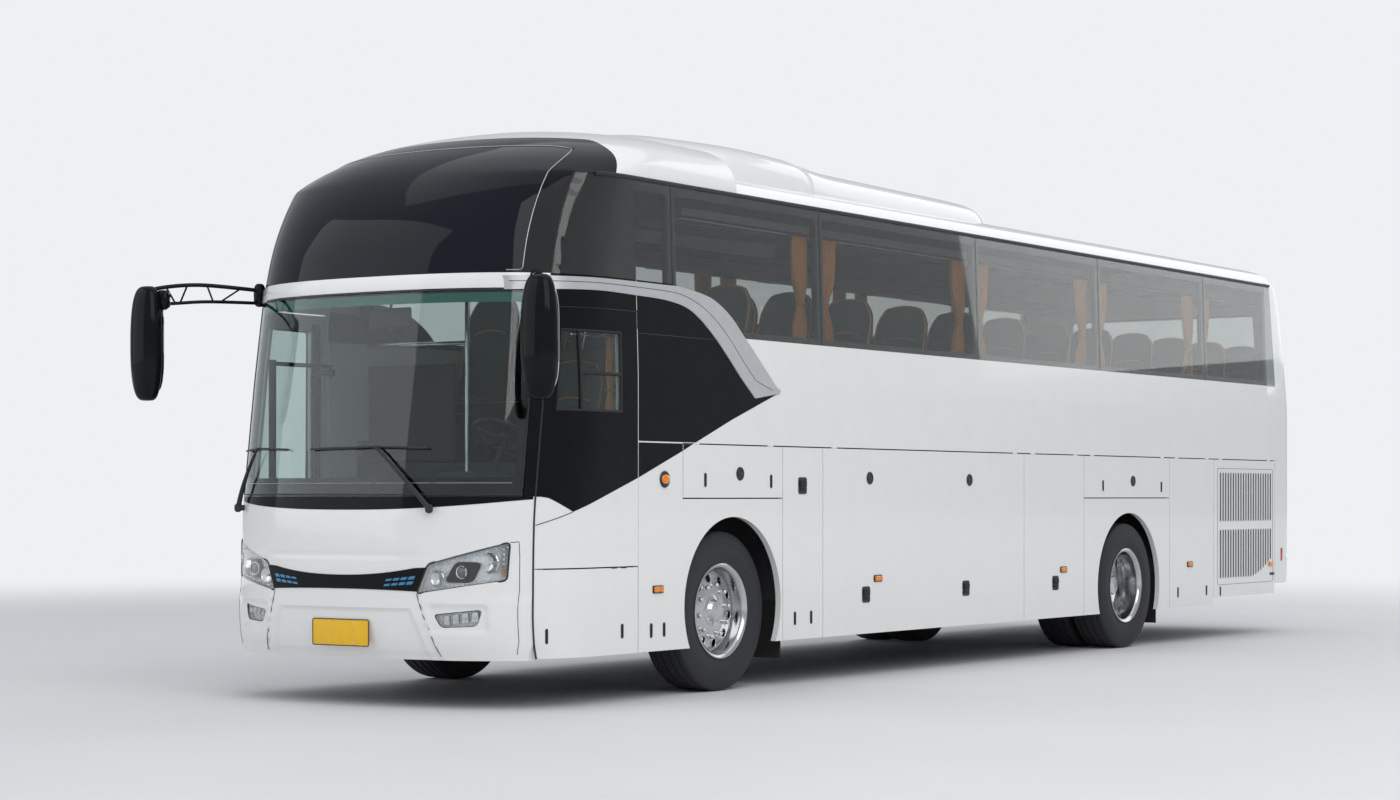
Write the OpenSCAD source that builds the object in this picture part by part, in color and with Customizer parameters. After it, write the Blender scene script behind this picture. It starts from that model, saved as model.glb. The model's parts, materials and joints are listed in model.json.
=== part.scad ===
/* [Body] */
// Length of the body, front face to rear face
body_len = 12000; // [11000:50:13700]
// Width of the body over the side walls
body_w = 2550; // [2400:10:2600]
// Height of the lower edge of the skirt
skirt_z = 300; // [250:10:360]
// Height of the seam above the lower doors
belt_z = 1585; // [1500:5:1650]
// Height of the lower edge of the side glass
sill_z = 2270; // [2200:5:2350]
// Height of the upper edge of the side glass
rail_z = 3195; // [3100:5:3300]
// Height of the crown of the main roof
roof_z = 3425; // [3350:5:3550]
// Lean of each side, from the window sill to the rail
lean = 35; // [0:1:60]
// Thickness of the side, roof and rear walls
wall = 50; // [30:1:60]
// Thickness of the bonded glass
glass = 8; // [5:1:12]
// Gap between a door and its frame
door_gap = 8; // [6:1:12]
// Reach of the mirrors ahead of the front face
mirror_reach = 250; // [150:10:400]

/* [Stations along the side, from the front face] */
// Front axle
front_axle_s = 2325; // [2200:5:2450]
// Distance between the axles
wheelbase = 6000; // [5500:10:6500]
// Rear edge of the driver's hatch and front end of the side walls
cab_end_s = 1280; // [1250:5:1350]
// Half length of the panel over a front wheel
arch_half = 585; // [560:5:610]
// Distance of that panel's middle behind the axle
arch_shift = 25; // [0:5:40]
// Length of the panel over a rear wheel
rear_panel_w = 1660; // [1400:10:1800]
// Distance of that panel's front edge ahead of the rear axle
rear_panel_lead = 854; // [700:5:900]
// Width of the narrow door behind the front wheel
service_w = 510; // [400:5:600]
// Width of the locker door ahead of the rear wheel
locker_w = 1050; // [700:10:1200]
// Length of the battery door behind the rear wheel
battery_w = 942; // [700:10:1000]
// Length of the rear corner, from the last side door to the rear face
rear_corner = 508; // [480:5:600]

/* [Wheels] */
// Diameter of the tyres
tyre_d = 1030; // [960:2:1060]
// Width of a tyre
tyre_w = 296; // [260:2:320]
// Diameter of the rims over the flange
rim_d = 616; // [560:2:640]
// Distance between the centres of the front tyres
front_track = 2104; // [2000:10:2200]
// Distance between the middles of the rear twins
rear_track = 1880; // [1800:10:1900]
// Distance between the centres of twin tyres
twin_pitch = 330; // [320:2:360]
// Radius of the hub spindles
spindle_r = 60; // [45:1:70]
// Distance between the kingpins
kingpin_track = 1740; // [1700:10:1840]

/* [Cabin] */
// Height of the top of the passenger deck
deck_z = 1470; // [1400:5:1500]
// Height of the top of the front platform
platform_z = 930; // [850:5:1000]
// Station of the step from the platform to the deck
step_s = 1560; // [1500:5:1700]
// Distance between seat rows
seat_pitch = 790; // [740:5:850]
// Number of seat rows
seat_rows = 12; // [8:1:12]

/* [Hidden] */
half_w = body_w / 2;
front_y = -(body_len - mirror_reach) / 2;
rear_y = front_y + body_len;
seam = 0.4;
// Gap at which one fixed piece rests on the next
rest = 0.3;
// Heights of the front pieces, from the ground up
mask_z = 860;
screen_z = 1250;
band_z = 2480;
cap_z = 2570;
dome_z = 3600;
// Front surface: station where the rounded corner meets the flat side, and its exponent
corner_end = [[skirt_z, 850], [screen_z, 880], [cap_z, 1055], [rail_z, cab_end_s - 40],
  [dome_z, 2430]];
corner_pow = 0.8;
// Rear end of the side walls and of the main roof
wall_end_s = body_len - 670;
// Angle at which the front pieces end and the side pieces begin
seam_a = 61.5;
// Station of the front face on the centre line at each height
nose = [[skirt_z - 10, 70], [400, 22], [560, 0], [mask_z, 0], [1100, 8], [screen_z, 28],
  [1600, 72], [2000, 125], [band_z, 190], [cap_z, 205], [2750, 245], [2900, 305],
  [3050, 395], [rail_z, 520], [3300, 650], [3400, 830], [3470, 1010], [3520, 1190],
  [3560, 1380], [3585, 1560], [dome_z, 1800]];
// Half width of the dome at each height above the rail
dome_w = [[rail_z, half_w - lean], [3300, half_w - lean - 22], [3400, 1155], [3470, 1050],
  [3520, 900], [3560, 700], [3585, 400], [dome_z, 20]];
lean_z = 2000;
function y_at(s) = front_y + s;
function side_x(z) = z < lean_z ? half_w
  : z < rail_z ? half_w - lean * (z - lean_z) / (rail_z - lean_z) : lookup(z, dome_w);
// Point of the outer surface: u up to 90 runs round the corner, 90 to 100 along the side
function skin(z, u, inset, end_s) =
  let (x = side_x(z) - inset, s0 = lookup(z, nose) + inset, t = min(abs(u), 90),
    side = u < 0 ? -1 : 1, s1 = lookup(z, corner_end),
    run = max(0, abs(u) - 90) / 10, drop = inset * max(0, (z - rail_z) / (dome_z - rail_z)))
  [side * max(1, x) * pow(sin(t), corner_pow),
    y_at(s0 + (s1 - s0) * (1 - pow(cos(t), corner_pow)) + run * (end_s - s1)), z - drop];
// Setback of the rear face on the centre line at each height
tail = [[skirt_z, 60], [450, 20], [600, 0], [lean_z, 0], [2300, 25], [2600, 80],
  [2900, 140], [3100, 200], [rail_z, 265], [3270, 320], [3320, 350], [3385, 400],
  [roof_z, 440]];
// Half width of the main roof at each height above the rail
roof_w = [[rail_z, half_w - lean], [3270, 1190], [3320, 1110], [3350, 1000], [3385, 800],
  [3410, 500], [roof_z, 0]];
rear_len = 300;
// Length of the rounded rear corner: it always starts behind the end of the side walls
function corner_len(s0) = min(rear_len, body_len - s0 - wall_end_s - 20);
rear_pow = 0.5;
// Point of the rear surface: u as for the front, but counted back from the rear face
function stern(z, u, inset, end_s) =
  let (x = (z < rail_z ? side_x(z) : lookup(z, roof_w)) - inset, s0 = lookup(z, tail) + inset,
    t = min(abs(u), 90), side = u < 0 ? -1 : 1, corner = corner_len(s0),
    s1 = body_len - s0 - corner, out = max(0, abs(u) - 90) / 10, drop = inset * max(0,
      (z - rail_z) / (roof_z - rail_z)))
  [side * max(1, x) * pow(sin(t), rear_pow),
    y_at(body_len - s0 - corner * (1 - pow(cos(t), rear_pow)) - out * (s1 - end_s)), z - drop];
module grid_solid(outer, inner) {
  rows = len(outer);
  cols = len(outer[0]);
  n = rows * cols;
  points = concat([for (r = outer) each r], [for (r = inner) each r]);
  faces = concat(
    [for (i = [0:rows - 2], j = [0:cols - 2]) let (a = i * cols + j)
      each [[a, a + cols, a + 1], [a + 1, a + cols, a + cols + 1]]],
    [for (i = [0:rows - 2], j = [0:cols - 2]) let (a = n + i * cols + j)
      each [[a, a + 1, a + cols], [a + 1, a + cols + 1, a + cols]]],
    [for (j = [0:cols - 2]) let (b = (rows - 1) * cols)
      each [[j, j + 1, n + j], [j + 1, n + j + 1, n + j],
        [b + j, n + b + j, b + j + 1], [b + j + 1, n + b + j, n + b + j + 1]]],
    [for (i = [0:rows - 2]) let (a = i * cols, b = a + cols - 1)
      each [[a, n + a, a + cols], [a + cols, n + a, n + a + cols],
        [b, b + cols, n + b], [b + cols, n + b + cols, n + b]]]);
  polyhedron(points = points, faces = faces, convexity = 8);
}
module skin_piece(levels, turns, thick, inset = 0, end_s = cab_end_s) {
  grid_solid([for (z = levels) [for (u = turns) skin(z, u, inset, end_s)]],
    [for (z = levels) [for (u = turns) skin(z, u, inset + thick, end_s)]]);
}
// A piece of skin whose lower and upper edges follow tables of height against u
module skin_patch(low, high, rows, turns, thick, inset = 0, end_s = cab_end_s) {
  grid_solid([for (i = [0:rows]) [for (u = turns)
      skin(lookup(u, low) + (lookup(u, high) - lookup(u, low)) * i / rows, u, inset, end_s)]],
    [for (i = [0:rows]) [for (u = turns)
      skin(lookup(u, low) + (lookup(u, high) - lookup(u, low)) * i / rows, u,
        inset + thick, end_s)]]);
}
module stern_piece(levels, turns, thick, inset = 0, end_s = wall_end_s) {
  back = [for (i = [len(turns) - 1:-1:0]) turns[i]];
  grid_solid([for (z = levels) [for (u = back) stern(z, u, inset, end_s)]],
    [for (z = levels) [for (u = back) stern(z, u, inset + thick, end_s)]]);
}
function steps(a, b, n) = [for (i = [0:n]) a + (b - a) * i / n];
// A box from low corner to high corner
module span(lo, hi) {
  translate(lo) cube([for (i = [0:2]) hi[i] - lo[i]]);
}
// A profile in X and Z run along the body between two stations
module run(s0, s1) {
  translate([0, y_at(s1), 0]) rotate([90, 0, 0]) linear_extrude(height = s1 - s0) children();
}
// A profile in Y and Z run across the body between two X values
module across(x0, x1) {
  translate([x0, 0, 0]) rotate([90, 0, 90]) linear_extrude(height = x1 - x0) children();
}
module both() {
  children();
  mirror([1, 0, 0]) children();
}
// Stations and sizes worked out from the driving ones
rear_axle_s = front_axle_s + wheelbase;
axle_z = tyre_d / 2;
arch_s = front_axle_s + arch_shift;
front_panel = [arch_s - arch_half, arch_s + arch_half];
service_door_s = [front_panel[1], front_panel[1] + service_w];
rear_panel = [rear_axle_s - rear_panel_lead, rear_axle_s - rear_panel_lead + rear_panel_w];
luggage_s = [service_door_s[1], rear_panel[0] - locker_w];
locker_s = [luggage_s[1], rear_panel[0]];
battery_s = [rear_panel[1], rear_panel[1] + battery_w];
radiator_s = [battery_s[1], body_len - rear_corner];
flap_z = 1235;
hatch_z = 825;
door_t = 40;
edge = door_gap / 2;
front_arch_r = 565;
front_arch_z = 555;
rear_arch_r = 600;
fine = 96;
// Window posts: middles of the panes' joints
post_s = [1674, luggage_s[0], 5689, 7785, 9910];
// Rear edge of the side glass at the sill and at the rail
glass_end_s = [body_len - 473, body_len - 568];
post_w = 90;
side_turns = [62, 66, 70, 74, 78, 82, 86, 90, 100];

module side_profile(z0, z1, thick, inset = 0) {
  polygon(concat([for (z = [z0, lean_z, z1]) if (z >= z0 && z <= z1) [side_x(z) - inset, z]],
    [for (z = [z1, lean_z, z0]) if (z >= z0 && z <= z1) [side_x(z) - inset - thick, z]]));
}
module front_frame() {
  color("dimgray") {
    both() span([rail_x - rail_w / 2, rail_front_y, front_rail_z],
      [rail_x + rail_w / 2, y_at(bay_s[0]), front_rail_z + rail_h]);
    for (s = [340, 1250, bay_s[0] - 100])
      span([-rail_x, y_at(s), front_rail_z + 30], [rail_x, y_at(s + 80), front_rail_z + rail_h - 30]);
    // Front towing jaw: a plate with a bore for an upright pin
    difference() {
      span([-tow_w / 2, y_at(tow_s - tow_w / 2), tow_z - tow_t], [tow_w / 2, y_at(341), tow_z]);
      translate([0, y_at(tow_s), tow_z - tow_t - 1]) cylinder(h = tow_t + 2, r = tow_r, $fn = 64);
    }
    // Jacking pads under the rails
    both() span([rail_x - rail_w / 2, y_at(jack_s - jack_l / 2), front_rail_z - jack_t],
      [rail_x + rail_w / 2, y_at(jack_s + jack_l / 2), front_rail_z]);
    // Outriggers that carry the platform
    for (s = [360, cab_end_s + 60])
      span([s < 1000 ? -980 : -bay_x, y_at(s), front_rail_z + rail_h], [s < 1000 ? 980 : bay_x,
        y_at(s + 60), platform_z - floor_t]);
  }
}
// The bay for the luggage: a floor with a wall round it, open at the top
module luggage_bay() {
  color("dimgray") difference() {
    span([-bay_x, y_at(bay_s[0]), skirt_z + 40], [bay_x, y_at(bay_s[1]), deck_z - floor_t]);
    span([-bay_x - 1, y_at(bay_s[0] + wall), skirt_z + 90],
      [bay_x + 1, y_at(bay_s[1] - wall), deck_z - floor_t + 1]);
  }
}
module rear_frame() {
  color("dimgray") {
    both() span([rail_x - rail_w / 2, y_at(bay_s[1]), rear_rail_z],
      [rail_x + rail_w / 2, y_at(body_len - 160), rear_rail_z + rail_h]);
    for (s = [bay_s[1] + 220, 9300])
      span([-rail_x, y_at(s), rear_rail_z + 30], [rail_x, y_at(s + 80), rear_rail_z + rail_h - 30]);
    for (s = engine_s) span([-rail_x - rail_w / 2, y_at(s) + 60, rear_rail_z - 60],
      [rail_x + rail_w / 2, y_at(s) + 140, rear_rail_z]);
    span([-bay_x, y_at(flap_hanger_s), 560], [bay_x, y_at(flap_hanger_s + 60), deck_z - floor_t]);
    // Pads behind the fixed panels over the rear wheels
    both() {
      span([bay_x - 60, y_at(flap_hanger_s), 560], [half_w - door_t, y_at(flap_hanger_s + 60),
        flap_z - door_gap]);
      span([bay_x - 60, y_at(bay_s[1]), 400], [bay_x, y_at(rear_panel[0] + 60), flap_z - door_gap]);
      span([bay_x - 1, y_at(rear_panel[0] + door_gap), 400], [half_w - door_t,
        y_at(rear_panel[0] + 60), flap_z - door_gap]);
    }
    for (s = [battery_s[1] - 30, radiator_s[1] - 60])
      span([-bay_x, y_at(s), rear_rail_z + rail_h], [bay_x, y_at(s + 60), deck_z - floor_t]);
  }
}
rail_x = 430;
rail_w = 90;
tow_s = 230;
tow_w = 140;
tow_t = 40;
tow_z = 640;
tow_r = 20.5;
jack_s = front_axle_s + 400;
jack_l = 140;
jack_t = 12;
rail_h = 150;
// The front rails end just behind the bumper
rail_front_y = skin(560, asin(pow((rail_x + rail_w / 2) / (half_w - wall), 1 / corner_pow)),
  wall + 3.2, cab_end_s)[1];
front_rail_z = 540;
rear_rail_z = 760;
bay_s = [service_door_s[0] + 60, locker_s[1] - 10];
bay_x = half_w - door_t - 13;
floor_t = 50;
engine_s = [10250, 11100];
flap_hanger_s = rear_axle_s + 652;
module cabin_floor() {
  color("slategray") {
    span([-bay_x, y_at(step_s), deck_z - floor_t], [bay_x, y_at(body_len - 330), deck_z]);
    // Waist rails between the deck and the side walls
    both() span([half_w - wall - 60, y_at(step_s), deck_z - floor_t], [half_w - wall,
      y_at(wall_end_s - 10), belt_z + 40]);
    span([-bay_x, y_at(step_s), platform_z - floor_t], [bay_x, y_at(step_s + floor_t), deck_z]);
    difference() {
      span([-bay_x, y_at(330), platform_z - floor_t], [bay_x, y_at(step_s + floor_t), platform_z]);
      span([-bay_x - 1, y_at(320), platform_z - floor_t - 1], [-step_x, y_at(cab_end_s), platform_z + 1]);
      span([platform_nose_x, y_at(320), platform_z - floor_t - 1], [bay_x + 1, y_at(800), platform_z + 1]);
    }
    // Entrance steps with their risers
    for (i = [0:2]) {
      x = -step_x - (3 - i) * tread;
      z = step_z + i * rise;
      span([x, y_at(step_front_s), z - 20], [x + tread, y_at(cab_end_s - 10), z]);
      span([x + tread - 20, y_at(step_front_s), z - 20], [x + tread, y_at(cab_end_s - 10), z + rise]);
    }
  }
}
// Half width of the platform between the rounded front corners
platform_nose_x = 980;
step_x = 600;
tread = 190;
step_z = 400;
rise = 176;
step_front_s = 560;
module windows(grow) {
  stops = concat([cab_end_s - post_w], post_s, [wall_end_s - 15]);
  for (i = [0:len(stops) - 2])
    span([half_w - 200, y_at(stops[i] + post_w / 2 - grow), sill_z + 40 - grow],
      [half_w + 50, y_at(stops[i + 1] - post_w / 2 + grow), rail_z - 70 + grow]);
}
module side_walls() {
  color("white") both() difference() {
    union() {
      run(cab_end_s, wall_end_s) side_profile(belt_z, sill_z, wall);
      run(cab_end_s, wall_end_s) side_profile(sill_z, rail_z, wall - glass - seam, glass + seam);
    }
    windows(0);
  }
}
module roof() {
  color("white") run(front_roof_s + seam, wall_end_s) polygon(concat(
    [for (p = roof_w) [p[1], p[0]]],
    [for (i = [len(roof_w) - 2:-1:0]) [-roof_w[i][1], roof_w[i][0]]],
    [for (p = roof_w) [-max(0, p[1] - wall), p[0] - wall * (p[0] - rail_z) / (roof_z - rail_z)]],
    [for (i = [len(roof_w) - 2:-1:0]) [max(0, roof_w[i][1] - wall),
      roof_w[i][0] - wall * (roof_w[i][0] - rail_z) / (roof_z - rail_z)]]));
}
front_roof_s = 2440;
// Edges of the black frame round the upper front glass, height against u
cap_top = [[-83, rail_z], [-62, 3385], [-50, 3455], [0, 3478], [50, 3455], [62, 3385], [83, rail_z]];
cap_low = [[-83, rail_z], [-51, rail_z], [-50, 3372], [-40, 3390], [0, 3400], [40, 3390],
  [50, 3372], [51, rail_z], [83, rail_z]];
pillar_turns = [51, 54, 57, seam_a];
cap_right = concat(pillar_turns, [66, 70, 74, 78, 82]);
// Levels shared by all that meets along the upper front corner
upper_levels = [cap_z, 2750, 2900, 3050, rail_z - seam];
cap_left = [for (i = [len(cap_right) - 1:-1:0]) -cap_right[i]];
cap_turns = concat(cap_left, steps(-50, 50, 16), cap_right);
module front_roof() {
  turns = concat([-100, -90, -83], cap_turns, [83, 90, 100]);
  color("white") skin_patch(concat([[-100, rail_z]], cap_top, [[100, rail_z]]),
    [[-100, dome_z], [100, dome_z]], 8, turns, wall, 0, front_roof_s);
}
module cap_frame() {
  high = [for (p = cap_top) [p[0], p[1] - seam]];
  color([0.05, 0.06, 0.08]) {
    skin_patch(cap_low, high, 6, cap_turns, wall);
    both() skin_piece(upper_levels, pillar_turns, wall);
  }
}
module front_cap() {
  color([0.04, 0.06, 0.09]) skin_patch([[-50, cap_z + seam], [50, cap_z + seam]],
    [[-50, 3361], [-40, 3384], [0, 3396], [40, 3384], [50, 3361]], 10, steps(-49.9, 49.9, 16), glass, 2);
}
module cab_sides() {
  lower = [hatch_z + edge, 1000, screen_z, 1600, lean_z, band_z, cap_z - seam];
  color("white") {
    difference() {
      union() {
        skin_piece(lower, side_turns, wall);
        skin_piece(upper_levels, side_turns, wall - glass - seam, glass + seam);
      }
      across(900, half_w + 50) driver_window(0);
      span([900, y_at(880), cap_z + 60], [half_w + 50, y_at(cab_end_s - 40), rail_z - 70]);
    }
    mirror([1, 0, 0]) difference() {
      union() {
        skin_piece([door_top_z + edge, band_z, cap_z - seam], side_turns, wall);
        skin_piece(upper_levels, side_turns, wall - glass - seam, glass + seam);
      }
      span([900, y_at(880), cap_z + 60], [half_w + 50, y_at(cab_end_s - 40), rail_z - 70]);
    }
  }
}
// Outline of the driver's side window
module driver_window(grow) {
  polygon([[y_at(560 - grow), 1760 - grow], [y_at(1110 + grow), 1760 - grow],
    [y_at(1110 + grow), 2240 + grow], [y_at(620 - grow), 2240 + grow]]);
}
door_top_z = 2440;
door_low_z = 330;
door_end_s = 1230;
front_turns = steps(-seam_a, seam_a, 20);
// Outlines of a headlamp and a fog lamp, seen from the front
module headlamp_shape(grow) {
  offset(delta = grow) polygon([[557, 680], [1050, 760], [1062, 984], [629, 856]]);
}
module fog_shape(grow) {
  offset(delta = grow) polygon([[657, 561], [933, 591], [905, 492], [700, 482]]);
}
module forward(s0, s1) {
  translate([0, y_at(s1), 0]) rotate([90, 0, 0]) linear_extrude(height = s1 - s0) children();
}
module front_bumper() {
  color("white") difference() {
    skin_piece([skirt_z - 10, 340, 400, 480, 560, 700, mask_z - seam], front_turns, wall);
    both() forward(-50, 700) {
      headlamp_shape(3);
      fog_shape(3);
    }
  }
}
module front_mask() {
  color("white") difference() {
    skin_piece([mask_z, 960, 1100, screen_z - seam], front_turns, wall);
    both() forward(-50, 700) headlamp_shape(3);
  }
}
module front_band() {
  color("white") skin_piece([band_z, cap_z - seam], front_turns, wall);
  // Corner pillars between the windscreen and the cab sides
  color("black") both() skin_piece([screen_z, 1600, lean_z, band_z - seam], [57, seam_a, 61.5], wall);
}
module windscreen() {
  color([0.5, 0.6, 0.6, 0.4]) skin_piece([screen_z, 1420, 1600, 1800, lean_z, 2240, band_z - seam],
    steps(-56.6, 56.6, 20), glass, 2);
}
// The rearmost pane, whose rear edge slants forward towards the rail
module last_pane(gap, from_s, thick, inset = 0) {
  intersection() {
    run(from_s, glass_end_s[0] - gap + 1) side_profile(sill_z + gap, rail_z - gap, thick, inset);
    across(half_w - 200, half_w + 50) polygon([[y_at(from_s - 1), sill_z - 50],
      [y_at(glass_end_s[0] - gap), sill_z], [y_at(glass_end_s[1] - gap), rail_z], [y_at(from_s - 1),
        rail_z]]);
  }
}
module side_glass() {
  color([0.1, 0.12, 0.12, 0.6]) {
    both() {
      skin_piece([cap_z + seam, 2750, 2900, 3050, rail_z - 2 * seam], [62, 66, 70, 74, 78, 82, 86, 90,
        99.9], glass, 0);
      run(cab_end_s, post_s[0] - 3) side_profile(cap_z + seam, rail_z - seam, glass);
      for (i = [0:len(post_s) - 2])
        run(post_s[i] + 3, post_s[i + 1] - 3) side_profile(sill_z + seam, rail_z - seam, glass);
      last_pane(seam, post_s[len(post_s) - 1] + 3, glass);
    }
    intersection() {
      skin_piece([1700, lean_z, 2300], side_turns, glass, 12);
      across(900, half_w + 50) driver_window(-0.5);
    }
  }
}
module rear_wall() {
  turns = concat([-100, -90, -82, -74, -60, -45], steps(-30, 30, 4), [45, 60, 74, 82, 90, 100]);
  color("white") difference() {
    stern_piece([belt_z, lean_z, 2300, 2600, 2900, 3100, rail_z, 3270, 3320, 3350, 3385, 3410, roof_z],
      turns, wall);
    span([-rear_glass_x, y_at(body_len - 400), 2300], [rear_glass_x, y_at(body_len + 10), 2960]);
    both() last_pane(0, wall_end_s - 1, glass + seam + 2, -2);
  }
}
rear_glass_x = 960;
module rear_window() {
  color([0.1, 0.12, 0.12, 0.6]) difference() {
    stern_piece([2300.5, 2450, 2600, 2750, 2900, 2959.5], steps(-37, 37, 8), glass, 6);
    both() span([rear_glass_x - 0.5, y_at(body_len - 400), 2200], [half_w, y_at(body_len + 10), 3100]);
  }
}
engine_u = 37;
engine_door_z = [760, belt_z - door_gap];
module rear_bumper() {
  color("white") {
    stern_piece([skirt_z + 150, 520, 600, 756], concat([-100, -90, -82, -74, -60, -45],
      steps(-30, 30, 4), [45, 60, 74, 82, 90, 100]), wall, 0, radiator_s[1] + edge);
    both() stern_piece([756, 1100, belt_z - seam], [engine_u + 1, 45, 60, 74, 82, 90, 100], wall, 0,
      radiator_s[1] + edge);
  }
}
module engine_door() {
  color("white") {
    stern_piece([engine_door_z[0] + edge, 1100, engine_door_z[1]], steps(-engine_u, engine_u, 8), door_t);
    both() {
      translate([200, rear_y, belt_z - edge]) rotate([0, 90, 0]) cylinder(h = barrel_len,
        r = barrel_r, $fn = 24);
      span([200, rear_y - 12, belt_z - edge - door_gap], [200 + barrel_len, rear_y, belt_z - edge]);
    }
  }
}
// Two hinge barrels along the upper edge of a door, each with the web that carries it
barrel_r = edge - rest;
barrel_len = 60;
module top_barrels(s, z) {
  for (at = [s[0] + 120, s[1] - 120 - barrel_len]) {
    translate([half_w, y_at(at), z]) rotate([-90, 0, 0]) cylinder(h = barrel_len, r = barrel_r, $fn = 24);
    span([half_w - 8, y_at(at), z - door_gap], [half_w, y_at(at + barrel_len), z]);
  }
}
// A flat lower side panel between two stations and two heights
module panel(s, z0, z1) {
  span([half_w - door_t, y_at(s[0] + edge), z0], [half_w, y_at(s[1] - edge), z1]);
}
module arch_cut(s, r, z = axle_z) {
  translate([half_w - 400, y_at(s), z]) rotate([0, 90, 0]) cylinder(h = 600, r = r, $fn = fine);
}
module skirts() {
  color("white") {
    both() {
      panel([cab_end_s, front_panel[0]], skirt_z, belt_z);
      difference() {
        panel([front_panel[0] - 2 * edge, front_panel[1]], skirt_z, flap_z);
        arch_cut(arch_s - 5, front_arch_r, front_arch_z);
      }
      difference() {
        panel(rear_panel, skirt_z, flap_z);
        arch_cut(rear_axle_s, rear_arch_r);
      }
    }
    mirror([1, 0, 0]) {
      panel(front_panel, flap_z, belt_z);
      panel(rear_panel, flap_z, belt_z);
      panel(service_door_s, skirt_z, belt_z);
      panel(locker_s, skirt_z, belt_z);
      panel(battery_s, skirt_z, belt_z);
      panel(radiator_s, skirt_z + 60, belt_z);
      run(cab_end_s - 42, cab_end_s) side_profile(skirt_z, door_top_z, door_t);
    }
  }
}
module driver_hatch() {
  color("white") {
    skin_piece([skirt_z, 400, 560, hatch_z - edge], concat([62], [for (u = side_turns)
      if (u > 62 && u < 100) u], [99.9]),
      door_t, 0, cab_end_s - edge);
    top_barrels([cab_end_s - 400, cab_end_s], hatch_z);
  }
}
module front_flap() {
  color("white") {
    panel(front_panel, flap_z + door_gap, belt_z - door_gap);
    top_barrels(front_panel, belt_z - edge);
  }
}
module service_door() {
  color("white") {
    panel(service_door_s, skirt_z, belt_z - door_gap);
    // Barrels on the front edge, beside the fixed panel
    for (z = [skirt_z + 120, flap_z - 180]) {
      translate([half_w + service_pin_out, y_at(service_door_s[0]), z])
        cylinder(h = barrel_len, r = barrel_r, $fn = 24);
      span([half_w - 8, y_at(service_door_s[0]), z], [half_w, y_at(service_door_s[0] + door_gap),
        z + barrel_len]);
    }
  }
}
module luggage_door_left() {
  color("white") {
    panel(luggage_s, skirt_z, belt_z - door_gap);
    top_barrels(luggage_s, belt_z - edge);
  }
}
// The narrow door's pins stand a little proud, so that it clears the open flap beside it
service_pin_out = 1.2;
module locker_door() {
  color("white") {
    panel(locker_s, skirt_z, belt_z - door_gap);
    top_barrels(locker_s, belt_z - edge);
  }
}
module rear_flap() {
  color("white") {
    panel(rear_panel, flap_z + door_gap, belt_z - door_gap);
    top_barrels(rear_panel, belt_z - edge);
  }
}
module battery_door() {
  color("white") {
    panel(battery_s, skirt_z, belt_z - door_gap);
    top_barrels(battery_s, belt_z - edge);
  }
}
module radiator_door() {
  color("white") {
    panel(radiator_s, skirt_z + 60, belt_z - door_gap);
    top_barrels(radiator_s, belt_z - edge);
  }
}
module luggage_door_right() {
  color("white") mirror([1, 0, 0]) {
    panel(luggage_s, skirt_z, belt_z - door_gap);
    top_barrels(luggage_s, belt_z - edge);
  }
}
door_turns = [62, 66, 70, 74, 78, 82, 86, 90, 100];
module passenger_door() {
  color("white") mirror([1, 0, 0]) {
    difference() {
      skin_piece([door_low_z, 560, mask_z, screen_z, 1600, lean_z, door_top_z - edge], door_turns,
        door_t, 0, door_end_s);
      across(900, half_w + 50) door_window(0);
    }
    // Inner rail with the brackets for the swing arms
    difference() {
      union() {
        span([door_inner_x - 30, y_at(door_pin_s - 30), 720], [door_inner_x + 6,
        y_at(door_pin_s + 30), door_top_z - 60]);
        for (z = door_arm_z) {
          translate([door_pin_x, y_at(door_pin_s), z - 20]) cylinder(h = 40, r = 30, $fn = 48);
          span([door_pin_x, y_at(door_pin_s - 30), z - 20], [door_inner_x - 10, y_at(door_pin_s + 30),
          z + 20]);
        }
      }
      for (z = door_arm_z)
        translate([door_pin_x, y_at(door_pin_s), z - 21]) cylinder(h = 42, r = door_pin_r + 0.3, $fn = 48);
    }
  }
}
door_inner_x = half_w - door_t;
// Outline of the window in the passenger door
module door_window(grow) {
  polygon([[y_at(500 - grow), 760 - grow], [y_at(door_pin_s - 40 + grow), 760 - grow],
    [y_at(door_pin_s - 40 + grow), door_top_z - 110 + grow], [y_at(680 - grow), door_top_z - 110 + grow]]);
}
door_pin_x = 1095;
door_post_s = 600;
door_pin_s = 1150;
door_arm_z = [1020, 2060];
door_pin_r = 12;
module door_glass() {
  color([0.3, 0.35, 0.35, 0.5]) mirror([1, 0, 0]) intersection() {
    skin_piece([700, 1200, 1600, lean_z, door_top_z - 60], [64, 66, 70, 74, 78, 82, 86, 90, 99],
      glass, 6, door_end_s);
    across(900, half_w + 50) door_window(-0.5);
  }
}
module door_arm() {
  color("gray") {
    translate([-door_pin_x, y_at(door_post_s), step_z + 0.3])
      cylinder(h = door_arm_z[1] + 60 - step_z, r = 24, $fn = 48);
    for (z = door_arm_z) {
      span([-door_pin_x - 18, y_at(door_post_s), z + 25], [-door_pin_x + 18, y_at(door_pin_s), z + 50]);
      translate([-door_pin_x, y_at(door_pin_s), z - 30]) cylinder(h = 80, r = door_pin_r, $fn = 48);
    }
  }
}
module slab(s, x, z, t) {
  translate([0, y_at(s), 0]) span([-x, 0, z - t], [x, 30, z]);
}
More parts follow.
